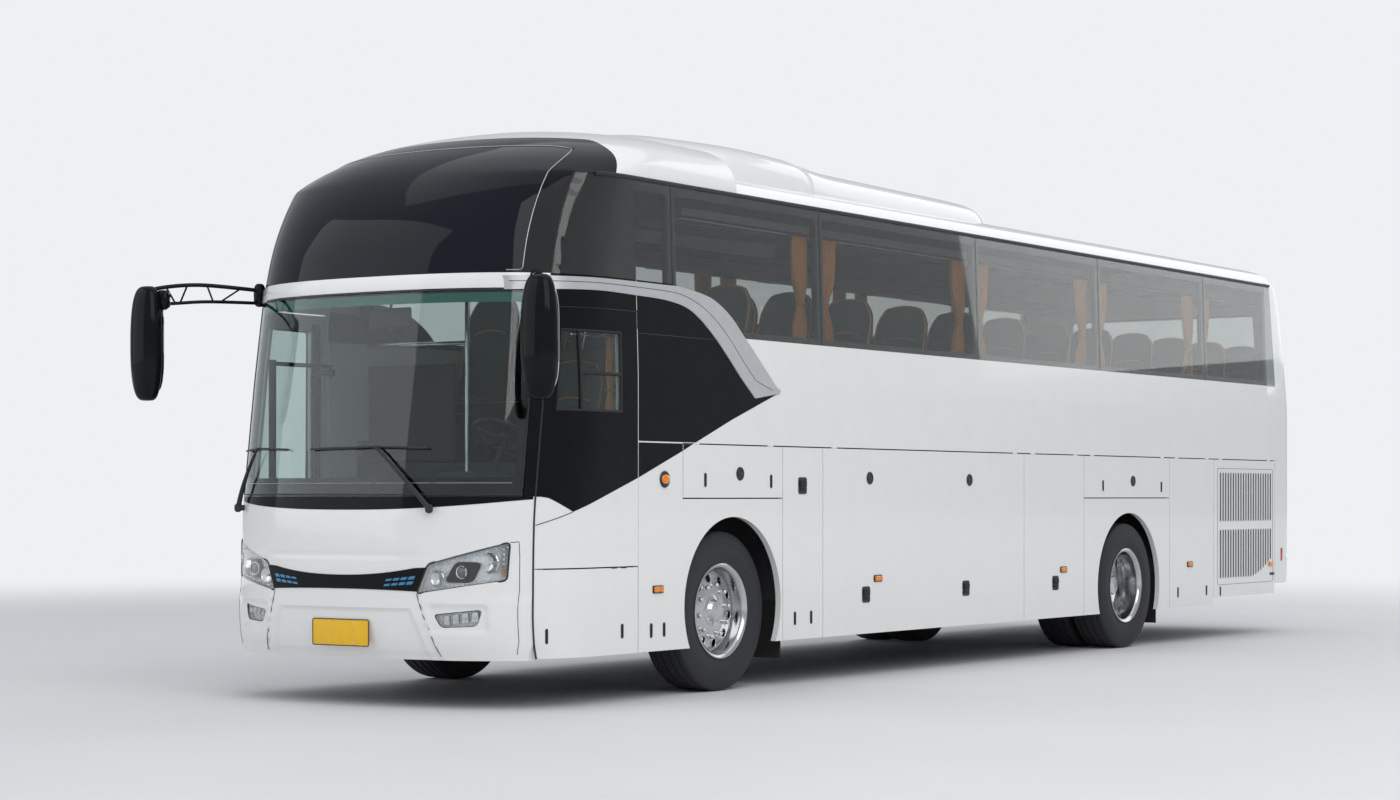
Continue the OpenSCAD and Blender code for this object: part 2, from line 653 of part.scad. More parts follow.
module air_conditioner() {
  color("white") difference() {
    union() {
      hull() {
        slab(1700, 900, 3520, 60);
        slab(2300, 960, 3500, 200);
        slab(2300, 850, 3640, 60);
        slab(3600, 1120, 3480, 200);
        slab(3600, 850, 3630, 60);
      }
      hull() {
        slab(3600, 1120, 3480, 200);
        slab(3600, 900, 3600, 60);
        slab(4000, 900, 3555, 60);
        slab(6050, 1080, 3440, 160);
        slab(6050, 850, 3545, 60);
        slab(6350, 900, 3380, 60);
      }
    }
    run(1000, 7000) polygon(concat([[-1300, 3000]],
      [for (i = [0:len(roof_w) - 1]) [-roof_w[i][1] - rest, roof_w[i][0] + rest]],
      [for (i = [len(roof_w) - 2:-1:0]) [roof_w[i][1] + rest, roof_w[i][0] + rest]], [[1300, 3000]]));
    run(1000, front_roof_s + 4) polygon(concat([[-1300, 3000]],
      [for (i = [0:len(dome_w) - 1]) [-dome_w[i][1] - rest, dome_w[i][0] + 1.6]],
      [for (i = [len(dome_w) - 2:-1:0]) [dome_w[i][1] + rest, dome_w[i][0] + 1.6]], [[1300, 3000]]));
  }
}
// A round bar from one point to another
module rod(a, b, r) {
  d = b - a;
  translate(a) rotate([0, acos(d[2] / norm(d)), atan2(d[1], d[0])]) cylinder(h = norm(d), r = r, $fn = 24);
}
// A mirror housing: an upright outline with round ends
module pod(at, w, d, h) {
  translate([at[0], at[1] + d / 2, at[2]]) rotate([90, 0, 0]) linear_extrude(height = d) {
    square([w, h - w], center = true);
    for (i = [-1, 1]) translate([0, i * (h - w) / 2]) circle(d = w, $fn = 48);
  }
}
mirror_u = seam_a * 0.9;
ball_r = 32;
// Ball foot of a mirror arm, just off the skin at a height
function foot(z, side) = skin(z, side * mirror_u, 1.1 - ball_r, cab_end_s);
module arm(from, to, r) {
  rod(from, to, r);
  translate(from) sphere(r = ball_r, $fn = 48);
}
module mirrors() {
  color("black") {
    // Left: housing on a short arm from the front corner
    arm(foot(2525, 1), [1420, y_at(130), 2470], 20);
    pod([1420, y_at(110), 2160], 240, 180, 720);
    // Right: housing on two long arms
    arm(foot(2525, -1), [-1440, y_at(-150), 2500], 18);
    rod(foot(2525, -1), [-1440, y_at(-150), 2400], 15);
    pod([-1440, y_at(-150), 2200], 240, 180, 720);
  }
}
wiper_u = [-36.9, 24.6];
module wipers() {
  color("black") for (u = wiper_u) {
    low = skin(wiper_z, u, -24, cab_end_s);
    rod(skin(wiper_z, u, -2.4, cab_end_s), skin(wiper_z, u, -32, cab_end_s), 12);
    rod(low, skin(wiper_z + 460, u - 12, -24, cab_end_s), 7);
  }
}
wiper_z = 1180;
module front_lamps() {
  color("silver") both() intersection() {
    skin_piece([450, 560, 700, mask_z, 1000], front_turns, 45, 2);
    forward(-50, 700) {
      headlamp_shape(2.5);
      fog_shape(2.5);
    }
  }
}
module rear_lamps() {
  color("red") both() stern_piece([900, 1150, 1400], [45, 60], 6, -6.3);
}
module dashboard() {
  color("dimgray") {
    skin_piece([platform_z + 0.3, 1300], steps(-52, 52, 12), 420, wall + 20);
    translate([wheel_at[0], y_at(wheel_at[1]), wheel_at[2]]) rotate([-wheel_tilt, 0, 0])
      translate([0, 0, -column - 260]) cylinder(h = 259.7, r = 45, $fn = 32);
  }
}
wheel_at = [620, 820, 1600];
wheel_tilt = 32;
column = 330;
module steering_wheel() {
  color("black") translate([wheel_at[0], y_at(wheel_at[1]), wheel_at[2]]) rotate([-wheel_tilt, 0, 0]) {
    rotate_extrude($fn = 64) translate([215, 0]) circle(r = 15, $fn = 24);
    cylinder(h = 30, r = 60, center = true, $fn = 48);
    for (a = [0, 120, 240]) rotate([0, 0, a + 90]) translate([0, -15, -6]) cube([206, 30, 12]);
    translate([0, 0, -column]) cylinder(h = column - 10, r = 20, $fn = 32);
  }
}
// Cushion on its foot, with the bracket that the back stands on
module seat_cushion(x, s, w, z) {
  translate([x - w / 2, y_at(s), z]) {
    span([0, 0, 330], [w, back_y - 6, 460]);
    span([w / 2 - 100, back_y - 7, 330], [w / 2 + 100, back_y + back_t, back_foot_z - rest]);
    span([w / 2 - 40, 120, 0], [w / 2 + 40, 360, 331]);
  }
}
module seat_back(x, s, w, z) {
  translate([x - w / 2, y_at(s) + back_y, z + back_z]) rotate([-back_tilt, 0, 0])
    span([0, 0, 0], [w, back_t, 760]);
}
// Front lower edge of a seat's back, its tilt and thickness, and its lowest point
back_y = 430;
back_z = 400;
back_tilt = 12;
back_t = 110;
back_foot_z = back_z - back_t * sin(back_tilt);
row_s = step_s + 560;
// Places of the passenger seats: X and station
seat_places = [for (i = [0:seat_rows - 1], x = [-960, -500, 500, 960]) [x, row_s + i * seat_pitch]];
driver_w = 500;
module seat_cushions() {
  color("darkslategray") {
    seat_cushion(wheel_at[0], wheel_at[1] + 100, driver_w, platform_z);
    for (p = seat_places) seat_cushion(p[0], p[1], 440, deck_z);
  }
}
module seat_backs() {
  color("darkslategray") {
    seat_back(wheel_at[0], wheel_at[1] + 100, driver_w, platform_z);
    for (p = seat_places) seat_back(p[0], p[1], 440, deck_z);
  }
}
module luggage_racks() {
  color("gray") both() span([720, y_at(step_s + 300), 3020], [side_x(3070) - wall - 0.1,
    y_at(body_len - 600), 3070]);
}
module engine() {
  color("darkgray") span([-380, y_at(engine_s[0]), rear_rail_z + 0.3], [380, y_at(engine_s[1] + 250),
    1380]);
}
module knuckle() {
  // Kingpin post, stub axle and steering arm
  translate([kingpin_track / 2, y_at(front_axle_s), axle_z]) {
    translate([0, 0, -90]) cylinder(h = 180, r = 55, $fn = 48);
    rotate([0, 90, 0]) cylinder(h = front_track / 2 - kingpin_track / 2 + 40, r = spindle_r, $fn = 64);
    span([-30, 0, -20], [30, 260, 20]);
  }
}
module knuckle_left() {
  color("gray") knuckle();
}
module knuckle_right() {
  color("gray") mirror([1, 0, 0]) knuckle();
}
module front_axle() {
  fork_x = kingpin_track / 2 - 90;
  color("gray") {
    difference() {
      span([-kingpin_track / 2 - 50, y_at(front_axle_s - 55), axle_z - 160],
        [kingpin_track / 2 + 50, y_at(front_axle_s + 55), axle_z + 160]);
      both() span([fork_x, y_at(front_axle_s - 200), axle_z - 90.3],
        [fork_x + 300, y_at(front_axle_s + 200), axle_z + 90.3]);
      span([-fork_x + 90, y_at(front_axle_s - 200), beam_z], [fork_x - 90, y_at(front_axle_s + 200),
        axle_z + 400]);
    }
    // Air springs up to the rails
    both() translate([rail_x, y_at(front_axle_s), beam_z - 1]) cylinder(h = front_rail_z - beam_z + 1,
      r = 110, $fn = 48);
  }
}
beam_z = 440;
module rear_axle() {
  color("gray") {
    // Spindles, axle tubes and the housing of the final drive, turned about the axle
    translate([0, y_at(rear_axle_s), axle_z]) rotate([0, 90, 0]) rotate_extrude($fn = 64) polygon([
      [0, -axle_end], [spindle_r, -axle_end], [spindle_r, -housing_x], [90, -housing_x],
      [90, -240], [215, -90], [215, 90], [90, 240], [90, housing_x], [spindle_r, housing_x],
      [spindle_r, axle_end], [0, axle_end]]);
    // Air springs on their cradles
    both() {
      span([rail_x - 50, y_at(rear_axle_s - spring_s - 60), 330], [rail_x + 50,
        y_at(rear_axle_s + spring_s + 60), 400]);
      span([rail_x - 50, y_at(rear_axle_s - 60), 399], [rail_x + 50, y_at(rear_axle_s + 60), axle_z]);
      for (s = [-spring_s, spring_s])
        translate([rail_x, y_at(rear_axle_s + s), 399]) cylinder(h = rear_rail_z - 399, r = 120, $fn = 48);
    }
  }
}
housing_x = 600;
axle_end = rear_track / 2 + 130;
spring_s = 330;
// Cross-section of a tyre, radius against width, turned about the wheel's axis
module tyre() {
  r = tyre_d / 2;
  seat_r = rim_d / 2 - 22;
  rotate([0, 90, 0]) rotate_extrude($fn = fine) polygon([[seat_r, -tyre_w / 2 + 30],
    [seat_r + 30, -tyre_w / 2 + 12], [r - 110, -tyre_w / 2], [r - 40, -tyre_w / 2 + 8],
    [r - 12, -tyre_w / 2 + 22], [r, -tyre_w / 2 + 50], [r, tyre_w / 2 - 50],
    [r - 12, tyre_w / 2 - 22], [r - 40, tyre_w / 2 - 8], [r - 110, tyre_w / 2],
    [seat_r + 30, tyre_w / 2 - 12], [seat_r, tyre_w / 2 - 30]]);
}
// A rim: barrel, disc at a given offset, hub with the spindle's bore
module rim(disc, half, back, front) {
  seat_r = rim_d / 2 - 22;
  rotate([0, 90, 0]) difference() {
    rotate_extrude($fn = fine) polygon([[spindle_r + seam, disc - back], [110, disc - back],
      [125, disc - 12], [seat_r - 24, disc - 12], [seat_r - 24, 20 - half], [rim_d / 2 - 1, 5 - half],
      [rim_d / 2 - 1, 17 - half], [seat_r - 0.5, 29.6 - half], [seat_r - 0.5, half - 29.6],
      [rim_d / 2 - 1, half - 17], [rim_d / 2 - 1, half - 5], [seat_r - 24, half - 20],
      [seat_r - 24, disc + 12], [125, disc + 12], [110, disc + front], [spindle_r + seam, disc + front]]);
    for (a = [0:36:324]) rotate([0, 0, a]) translate([200, 0, disc - 40]) cylinder(h = 80, r = 32,
      $fn = 32);
  }
}
module front_left_tyre() {
  color([0.1, 0.1, 0.1]) translate([front_track / 2, y_at(front_axle_s), axle_z]) tyre();
}
module front_left_rim() {
  color("silver") translate([front_track / 2, y_at(front_axle_s), axle_z]) rim(40, tyre_w / 2, 60, 40);
}
module front_right_tyre() {
  color([0.1, 0.1, 0.1]) mirror([1, 0, 0]) translate([front_track / 2, y_at(front_axle_s), axle_z]) tyre();
}
module front_right_rim() {
  color("silver") mirror([1, 0, 0]) translate([front_track / 2, y_at(front_axle_s), axle_z]) rim(40,
    tyre_w / 2, 60, 40);
}
module twins() {
  for (i = [-1, 1]) translate([rear_track / 2 + i * twin_pitch / 2, y_at(rear_axle_s), axle_z]) children();
}
module twin_rims() {
  translate([rear_track / 2 - twin_pitch / 2, y_at(rear_axle_s), axle_z]) rim(twin_pitch / 2 - 12,
    tyre_w / 2, 60, 12);
  translate([rear_track / 2 + twin_pitch / 2, y_at(rear_axle_s), axle_z]) rim(12 - twin_pitch / 2,
    tyre_w / 2, 12, 130);
}
module rear_left_tyres() {
  color([0.1, 0.1, 0.1]) twins() tyre();
}
module rear_left_rims() {
  color("silver") twin_rims();
}
module rear_right_tyres() {
  color([0.1, 0.1, 0.1]) mirror([1, 0, 0]) twins() tyre();
}
module rear_right_rims() {
  color("silver") mirror([1, 0, 0]) twin_rims();
}
module mud_flaps() {
  color([0.1, 0.1, 0.1]) both() {
    span([800, y_at(bay_s[0] - 12), 180], [1220, y_at(bay_s[0]), 560]);
    span([620, y_at(flap_hanger_s - 12), 180], [1220, y_at(flap_hanger_s), 600]);
  }
}

front_frame();
luggage_bay();
rear_frame();
cabin_floor();
side_walls();
roof();
front_roof();
cap_frame();
cab_sides();
front_bumper();
front_mask();
front_band();
windscreen();
front_cap();
side_glass();
rear_wall();
rear_window();
rear_bumper();
skirts();
driver_hatch();
front_flap();
service_door();
luggage_door_left();
locker_door();
rear_flap();
battery_door();
radiator_door();
luggage_door_right();
engine_door();
passenger_door();
door_glass();
door_arm();
air_conditioner();
mirrors();
wipers();
front_lamps();
rear_lamps();
dashboard();
steering_wheel();
seat_cushions();
seat_backs();
luggage_racks();
engine();
front_axle();
knuckle_left();
knuckle_right();
rear_axle();
front_left_tyre();
front_left_rim();
front_right_tyre();
front_right_rim();
rear_left_tyres();
rear_left_rims();
rear_right_tyres();
rear_right_rims();
mud_flaps();
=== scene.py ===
"""Finishes and fine parts of a touring coach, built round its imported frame."""

import bisect
import json
import logging
import math
from dataclasses import dataclass
from enum import Enum
from typing import Callable, Iterable, Sequence

import bmesh
import bpy
import numpy as np
from mathutils import Matrix, Vector
from mathutils.geometry import delaunay_2d_cdt


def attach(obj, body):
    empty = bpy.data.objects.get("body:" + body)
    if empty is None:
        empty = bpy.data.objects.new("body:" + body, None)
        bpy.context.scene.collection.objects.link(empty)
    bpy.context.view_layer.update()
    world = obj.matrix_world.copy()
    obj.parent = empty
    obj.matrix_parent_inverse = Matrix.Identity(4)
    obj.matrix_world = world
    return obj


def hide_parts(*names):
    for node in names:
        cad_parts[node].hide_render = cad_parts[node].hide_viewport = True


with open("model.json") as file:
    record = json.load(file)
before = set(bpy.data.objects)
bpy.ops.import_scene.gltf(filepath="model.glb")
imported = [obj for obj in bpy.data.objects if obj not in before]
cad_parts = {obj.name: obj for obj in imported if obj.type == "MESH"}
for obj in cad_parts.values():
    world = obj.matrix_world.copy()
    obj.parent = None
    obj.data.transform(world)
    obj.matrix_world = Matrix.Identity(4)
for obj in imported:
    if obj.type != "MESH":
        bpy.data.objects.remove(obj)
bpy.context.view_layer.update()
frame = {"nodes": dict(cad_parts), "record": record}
log = logging.getLogger("coach")
Point = tuple[float, float]
ROOT = "coach_body"


class Grain(Enum):
    """The fine structure of a finish."""

    PAINT = "paint"
    PLASTIC = "plastic"
    WEAVE = "weave"
    BRUSHED = "brushed"
    CAST = "cast"
    RUBBER = "rubber"
    GLASS = "glass"


@dataclass(frozen=True)
class Finish:
    """One surface finish, made from noise and bump nodes.

    Args:
        name: name of the material.
        colour: base colour, linear.
        rough: roughness of the clean surface.
        metal: metallic share.
        coat: strength of a clear coat.
        clear: share of light let through.
        scale: size of the grain, in repeats per metre.
        bump: height of the grain in metres.
        vary: how far the colour wanders, as a share.
        grain: kind of grain.
        shine: strength of its plain reflection.
        above: height above which it is black, or 0 for one colour all over.
    """

    name: str
    colour: tuple[float, float, float]
    rough: float = 0.4
    metal: float = 0.0
    coat: float = 0.0
    clear: float = 0.0
    scale: float = 40.0
    bump: float = 0.0002
    vary: float = 0.08
    grain: Grain = Grain.PLASTIC
    shine: float = 0.5
    above: float = 0.0

    def make(self) -> bpy.types.Material:
        """Builds the material once and returns it afterwards."""
        known = bpy.data.materials.get(self.name)
        if known:
            return known
        made = bpy.data.materials.new(self.name)
        made.use_nodes = True
        nodes, links = made.node_tree.nodes, made.node_tree.links
        shader = nodes["Principled BSDF"]
        shader.inputs["Metallic"].default_value = self.metal
        shader.inputs["Coat Weight"].default_value = self.coat
        shader.inputs["Coat Roughness"].default_value = 0.04
        shader.inputs["Transmission Weight"].default_value = self.clear
        shader.inputs["IOR"].default_value = 1.45
        shader.inputs["Specular IOR Level"].default_value = self.shine
        place = nodes.new("ShaderNodeTexCoord")
        broad = nodes.new("ShaderNodeTexNoise")
        broad.inputs["Scale"].default_value = self.scale / 12
        broad.inputs["Detail"].default_value = 4
        fine = self._grain_node(nodes)
        links.new(place.outputs["Object"], broad.inputs["Vector"])
        links.new(place.outputs["Object"], fine.inputs["Vector"])
        tint = nodes.new("ShaderNodeValToRGB")
        low, high = tint.color_ramp.elements
        low.position, high.position = 0.3, 0.7
        low.color = (*(c * (1 - self.vary) for c in self.colour), 1)
        high.color = (*(min(1, c * (1 + self.vary * 0.5)) for c in self.colour), 1)
        links.new(broad.outputs["Fac"], tint.inputs["Fac"])
        links.new(tint.outputs["Color"], shader.inputs["Base Color"])
        if self.above:
            self._two_tone(nodes, links, place, tint, shader)
        gloss = nodes.new("ShaderNodeMapRange")
        gloss.inputs["To Min"].default_value = max(0.0, self.rough * 0.8)
        gloss.inputs["To Max"].default_value = min(1.0, self.rough * 1.25 + 0.01)
        links.new(broad.outputs["Fac"], gloss.inputs["Value"])
        links.new(gloss.outputs["Result"], shader.inputs["Roughness"])
        if self.bump:
            relief = nodes.new("ShaderNodeBump")
            relief.inputs["Strength"].default_value = 0.5
            relief.inputs["Distance"].default_value = self.bump
            links.new(fine.outputs["Fac"], relief.inputs["Height"])
            links.new(relief.outputs["Normal"], shader.inputs["Normal"])
        return made

    def _two_tone(self, nodes: bpy.types.Nodes, links: bpy.types.NodeLinks, place: bpy.types.Node,
                  tint: bpy.types.Node, shader: bpy.types.Node) -> None:
        """Turns the colour black above a height."""
        apart = nodes.new("ShaderNodeSeparateXYZ")
        links.new(place.outputs["Object"], apart.inputs["Vector"])
        step = nodes.new("ShaderNodeMath")
        step.operation = "GREATER_THAN"
        step.inputs[1].default_value = self.above
        links.new(apart.outputs["Z"], step.inputs[0])
        mix = nodes.new("ShaderNodeMix")
        mix.data_type = "RGBA"
        mix.inputs[7].default_value = (0.012, 0.013, 0.015, 1)
        links.new(step.outputs["Value"], mix.inputs[0])
        links.new(tint.outputs["Color"], mix.inputs[6])
        links.new(mix.outputs[2], shader.inputs["Base Color"])

    def _grain_node(self, nodes: bpy.types.Nodes) -> bpy.types.Node:
        """The node whose Fac is the height of the grain."""
        if self.grain is Grain.WEAVE or self.grain is Grain.BRUSHED:
            bands = nodes.new("ShaderNodeTexWave")
            bands.inputs["Scale"].default_value = self.scale
            bands.inputs["Distortion"].default_value = 3 if self.grain is Grain.WEAVE else 12
            bands.inputs["Detail"].default_value = 3
            return bands
        noise = nodes.new("ShaderNodeTexNoise")
        noise.inputs["Scale"].default_value = self.scale
        noise.inputs["Detail"].default_value = 6 if self.grain is Grain.CAST else 2
        return noise


WHITE = Finish("white_paint", (0.80, 0.80, 0.79), 0.16, coat=0.6, scale=90, bump=0.00002,
               vary=0.015, grain=Grain.PAINT)
BLACK = Finish("black_gloss", (0.006, 0.0065, 0.008), 0.07, scale=70, bump=0.00002, vary=0.2,
               grain=Grain.PAINT, shine=0.15)
WALL = Finish("side_wall_paint", (0.80, 0.80, 0.79), 0.16, coat=0.3, scale=90, bump=0.00002,
              vary=0.015, grain=Grain.PAINT, above=2.27)
SILVER = Finish("silver_paint", (0.42, 0.43, 0.44), 0.28, metal=0.55, coat=0.5, scale=160,
                bump=0.00002, vary=0.06, grain=Grain.PAINT)
SIDE_GLASS = Finish("tinted_side_glass", (0.56, 0.59, 0.58), 0.01, clear=1.0, scale=14, bump=0,
                    vary=0.06, grain=Grain.GLASS, shine=0.06)
CLEAR_GLASS = Finish("front_glass", (0.60, 0.69, 0.68), 0.012, clear=1.0, scale=10, bump=0,
                     vary=0.03, grain=Grain.GLASS, shine=0.2)
CAP_GLASS = Finish("upper_front_glass", (0.006, 0.009, 0.014), 0.035, scale=8, bump=0,
                   vary=0.25, grain=Grain.GLASS, shine=0.24)
TRIM = Finish("black_trim", (0.022, 0.022, 0.024), 0.45, scale=260, bump=0.00015, vary=0.15)
RUBBER = Finish("seal_rubber", (0.018, 0.018, 0.018), 0.7, scale=320, bump=0.0002,
                vary=0.2, grain=Grain.RUBBER)
TYRE = Finish("tyre_rubber", (0.026, 0.026, 0.027), 0.72, scale=180, bump=0.0004, vary=0.22,
              grain=Grain.RUBBER)
ALLOY = Finish("polished_alloy", (0.56, 0.57, 0.58), 0.16, metal=1.0, scale=120, bump=0.000005,
               vary=0.04, grain=Grain.BRUSHED)
CHROME = Finish("chrome", (0.66, 0.67, 0.68), 0.08, metal=1.0, scale=60, bump=0.00001, vary=0.02,
                grain=Grain.PAINT)
STEEL = Finish("chassis_paint", (0.045, 0.046, 0.05), 0.5, scale=70, bump=0.0004, vary=0.3,
               grain=Grain.CAST)
CAST = Finish("cast_iron", (0.10, 0.10, 0.105), 0.6, metal=0.4, scale=130, bump=0.0008,
              vary=0.25, grain=Grain.CAST)
CARPET = Finish("floor_covering", (0.085, 0.085, 0.09), 0.85, scale=420, bump=0.0006, vary=0.25,
                grain=Grain.CAST)
DASH = Finish("dash_plastic", (0.05, 0.052, 0.055), 0.6, scale=420, bump=0.0004, vary=0.15)
# Grey cabin lining, darkened past its own colour: painted shade for the racks and ceiling seen from below
LINING_PAINTED_SHADE = Finish("cabin_lining_painted_shade", (0.12, 0.12, 0.12), 0.75, scale=300, bump=0.0004, vary=0.08)
SEAT_CLOTH = Finish("seat_cloth", (0.018, 0.058, 0.062), 0.85, scale=520, bump=0.0006,
                    vary=0.28, grain=Grain.WEAVE)
PIPING = Finish("orange_piping", (0.62, 0.22, 0.03), 0.6, scale=400, bump=0.0003,
                grain=Grain.WEAVE)
# Orange curtain cloth, brightened past its own colour: painted light standing in for sun falling on the
# curtains
CURTAIN_PAINTED_LIGHT = Finish("curtain_cloth_painted_light", (0.94, 0.43, 0.11), 0.8, scale=600, bump=0.0004, vary=0.2,
                 grain=Grain.WEAVE)
AMBER = Finish("amber_lens", (0.85, 0.23, 0.01), 0.15, coat=0.8, scale=300, bump=0.0006)
RED_LENS = Finish("red_lens", (0.45, 0.008, 0.01), 0.12, coat=0.8, scale=300, bump=0.0006)
LAMP_LENS = Finish("lamp_lens", (0.93, 0.95, 0.96), 0.01, clear=1.0, scale=20, bump=0,
                   vary=0.01, grain=Grain.GLASS)
PLATE = Finish("plate_yellow", (0.86, 0.50, 0.02), 0.45, scale=240, bump=0.0001, vary=0.05)
BLUE_MARK = Finish("blue_mark", (0.02, 0.20, 0.42), 0.2, coat=0.7, scale=120, bump=0.00005)
SASH = Finish("sash_silver", (0.50, 0.51, 0.52), 0.30, metal=0.35, coat=0.4, scale=160, bump=0.00002,
              vary=0.05, grain=Grain.PAINT)
TEAL_BAND = Finish("screen_tint_band", (0.004, 0.26, 0.21), 0.05, clear=0.2, scale=12, bump=0,
                   vary=0.1, grain=Grain.GLASS)
DRIVER_GLASS = Finish("driver_side_glass", (0.50, 0.56, 0.56), 0.012, clear=1.0, scale=12, bump=0,
                      vary=0.05, grain=Grain.GLASS)
GRILLE_DARK = Finish("grille_dark", (0.030, 0.031, 0.034), 0.6, scale=220, bump=0.0004, vary=0.25)
REFLECTOR = Finish("lamp_reflector", (0.62, 0.64, 0.66), 0.16, metal=0.9, scale=220, bump=0.0012,
                   vary=0.10, grain=Grain.BRUSHED)
LAMP_BULB = Finish("lamp_bulb", (0.86, 0.88, 0.90), 0.12, coat=0.6, scale=160, bump=0.0002, vary=0.05)
PROJECTOR = Finish("projector_glass", (0.10, 0.12, 0.14), 0.03, coat=1.0, scale=40, bump=0, vary=0.2,
                   grain=Grain.GLASS)
MIRROR_GLASS = Finish("mirror_face", (0.82, 0.84, 0.85), 0.02, metal=1.0, scale=20, bump=0,
                      vary=0.01, grain=Grain.GLASS)

SLOT_FINISH = {
    "body_white": WHITE, "black_panel": BLACK, "tinted_glass": SIDE_GLASS,
    "clear_glass": CLEAR_GLASS, "frame_steel": STEEL, "deck": CARPET, "trim_plastic": DASH,
    "seat_fabric": SEAT_CLOTH, "tyre_rubber": TYRE, "alloy": ALLOY, "lamp_glass": LAMP_LENS,
    "lamp_red": RED_LENS, "cast_metal": CAST, "rubber_black": RUBBER,
}

# The luggage racks take the lining darkened as painted shade
NODE_FINISH = {"side_walls": WALL, "luggage_racks": LINING_PAINTED_SHADE}


def dress_nodes() -> None:
    """Gives every CAD node the finish of its slot in the record."""
    for row in frame["record"]["subparts"]:
        name = row["node"]
        node = frame["nodes"][name]
        finish = (NODE_FINISH.get(name) or SLOT_FINISH[row["material_slot"]]).make()
        node.data.materials.clear()
        node.data.materials.append(finish)


@dataclass(frozen=True)
class Studio:
    """Camera, lights, floor and backdrop.

    The camera stands to the left of the front, level, as high as a low eye.
    """

    eye: tuple[float, float, float] = (10.683, -17.939, 1.249)
    turn_deg: float = 33.865
    lens_mm: float = 68.95
    rise: float = 0.0691
    floor_half: float = 150.0
    backdrop: tuple[float, float, float] = (0.86, 0.87, 0.89)

    def build(self) -> None:
        """Makes the camera, the lamps, the world and the floor."""
        scene = bpy.context.scene
        lens = bpy.data.cameras.new("camera")
        lens.lens, lens.sensor_width, lens.shift_y = self.lens_mm, 36.0, self.rise
        lens.clip_end = 400
        camera = bpy.data.objects.new("camera", lens)
        camera.location = self.eye
        camera.rotation_euler = (math.radians(90), 0, math.radians(self.turn_deg))
        scene.collection.objects.link(camera)
        scene.camera = camera
        scene.view_settings.view_transform = "Standard"
        self._lamp("key", (14, -12, 13), 1650, 16)
        self._lamp("fill", (-12, -16, 9), 620, 15)
        self._lamp("top", (0, 0, 16), 620, 20)
        self._lamp("back", (4, 18, 10), 620, 14)
        self._world(scene)
        self._floor()

    def _lamp(self, name: str, at: tuple[float, float, float], watts: float, size: float) -> None:
        """Adds one soft square lamp that faces the middle of the coach."""
        data = bpy.data.lights.new(name, "AREA")
        data.energy, data.size = watts, size
        lamp = bpy.data.objects.new(name, data)
        lamp.location = at
        lamp.rotation_euler = (Vector((0, 0, 1.4)) - Vector(at)).to_track_quat("-Z", "Y").to_euler()
        bpy.context.scene.collection.objects.link(lamp)

    def _world(self, scene: bpy.types.Scene) -> None:
        """A pale sky that lights evenly and shows white behind the coach."""
        world = bpy.data.worlds.new("studio")
        world.use_nodes = True
        nodes, links = world.node_tree.nodes, world.node_tree.links
        light = nodes["Background"]
        light.inputs["Color"].default_value = (0.86, 0.90, 0.95, 1)
        light.inputs["Strength"].default_value = 0.55
        white = nodes.new("ShaderNodeBackground")
        white.inputs["Color"].default_value = (*self.backdrop, 1)
        white.inputs["Strength"].default_value = 1.0
        path = nodes.new("ShaderNodeLightPath")
        seen = nodes.new("ShaderNodeMath")
        seen.operation = "MAXIMUM"
        mix = nodes.new("ShaderNodeMixShader")
        links.new(path.outputs["Is Camera Ray"], seen.inputs[0])
        links.new(path.outputs["Is Transmission Ray"], seen.inputs[1])
        links.new(seen.outputs["Value"], mix.inputs["Fac"])
        links.new(light.outputs["Background"], mix.inputs[1])
        links.new(white.outputs["Background"], mix.inputs[2])
        links.new(mix.outputs["Shader"], nodes["World Output"].inputs["Surface"])
        scene.world = world

    def _floor(self) -> None:
        """A wide pale floor with a faint mottle."""
        half = self.floor_half
        data = bpy.data.meshes.new("floor")
        data.from_pydata([(-half, -half, 0), (half, -half, 0), (half, half, 0), (-half, half, 0)],
                         [], [(0, 1, 2, 3)])
        floor = bpy.data.objects.new("floor", data)
        bpy.context.scene.collection.objects.link(floor)
        finish = Finish("studio_floor", (0.74, 0.745, 0.75), 0.6, scale=6, bump=0, vary=0.02).make()
        self._fade(finish)
        data.materials.append(finish)

    def _fade(self, material: bpy.types.Material) -> None:
        """Lets the floor run into the backdrop with distance."""
        nodes, links = material.node_tree.nodes, material.node_tree.links
        place = nodes.new("ShaderNodeTexCoord")
        reach = nodes.new("ShaderNodeVectorMath")
        reach.operation = "LENGTH"
        share = nodes.new("ShaderNodeMapRange")
        share.interpolation_type = "SMOOTHERSTEP"
        share.inputs["From Min"].default_value = 7.0
        share.inputs["From Max"].default_value = 24.0
        glow = nodes.new("ShaderNodeEmission")
        glow.inputs["Color"].default_value = (*self.backdrop, 1)
        mix = nodes.new("ShaderNodeMixShader")
        links.new(place.outputs["Object"], reach.inputs[0])
        links.new(reach.outputs["Value"], share.inputs["Value"])
        links.new(share.outputs["Result"], mix.inputs["Fac"])
        links.new(nodes["Principled BSDF"].outputs["BSDF"], mix.inputs[1])
        links.new(glow.outputs["Emission"], mix.inputs[2])
        links.new(mix.outputs["Shader"], nodes["Material Output"].inputs["Surface"])


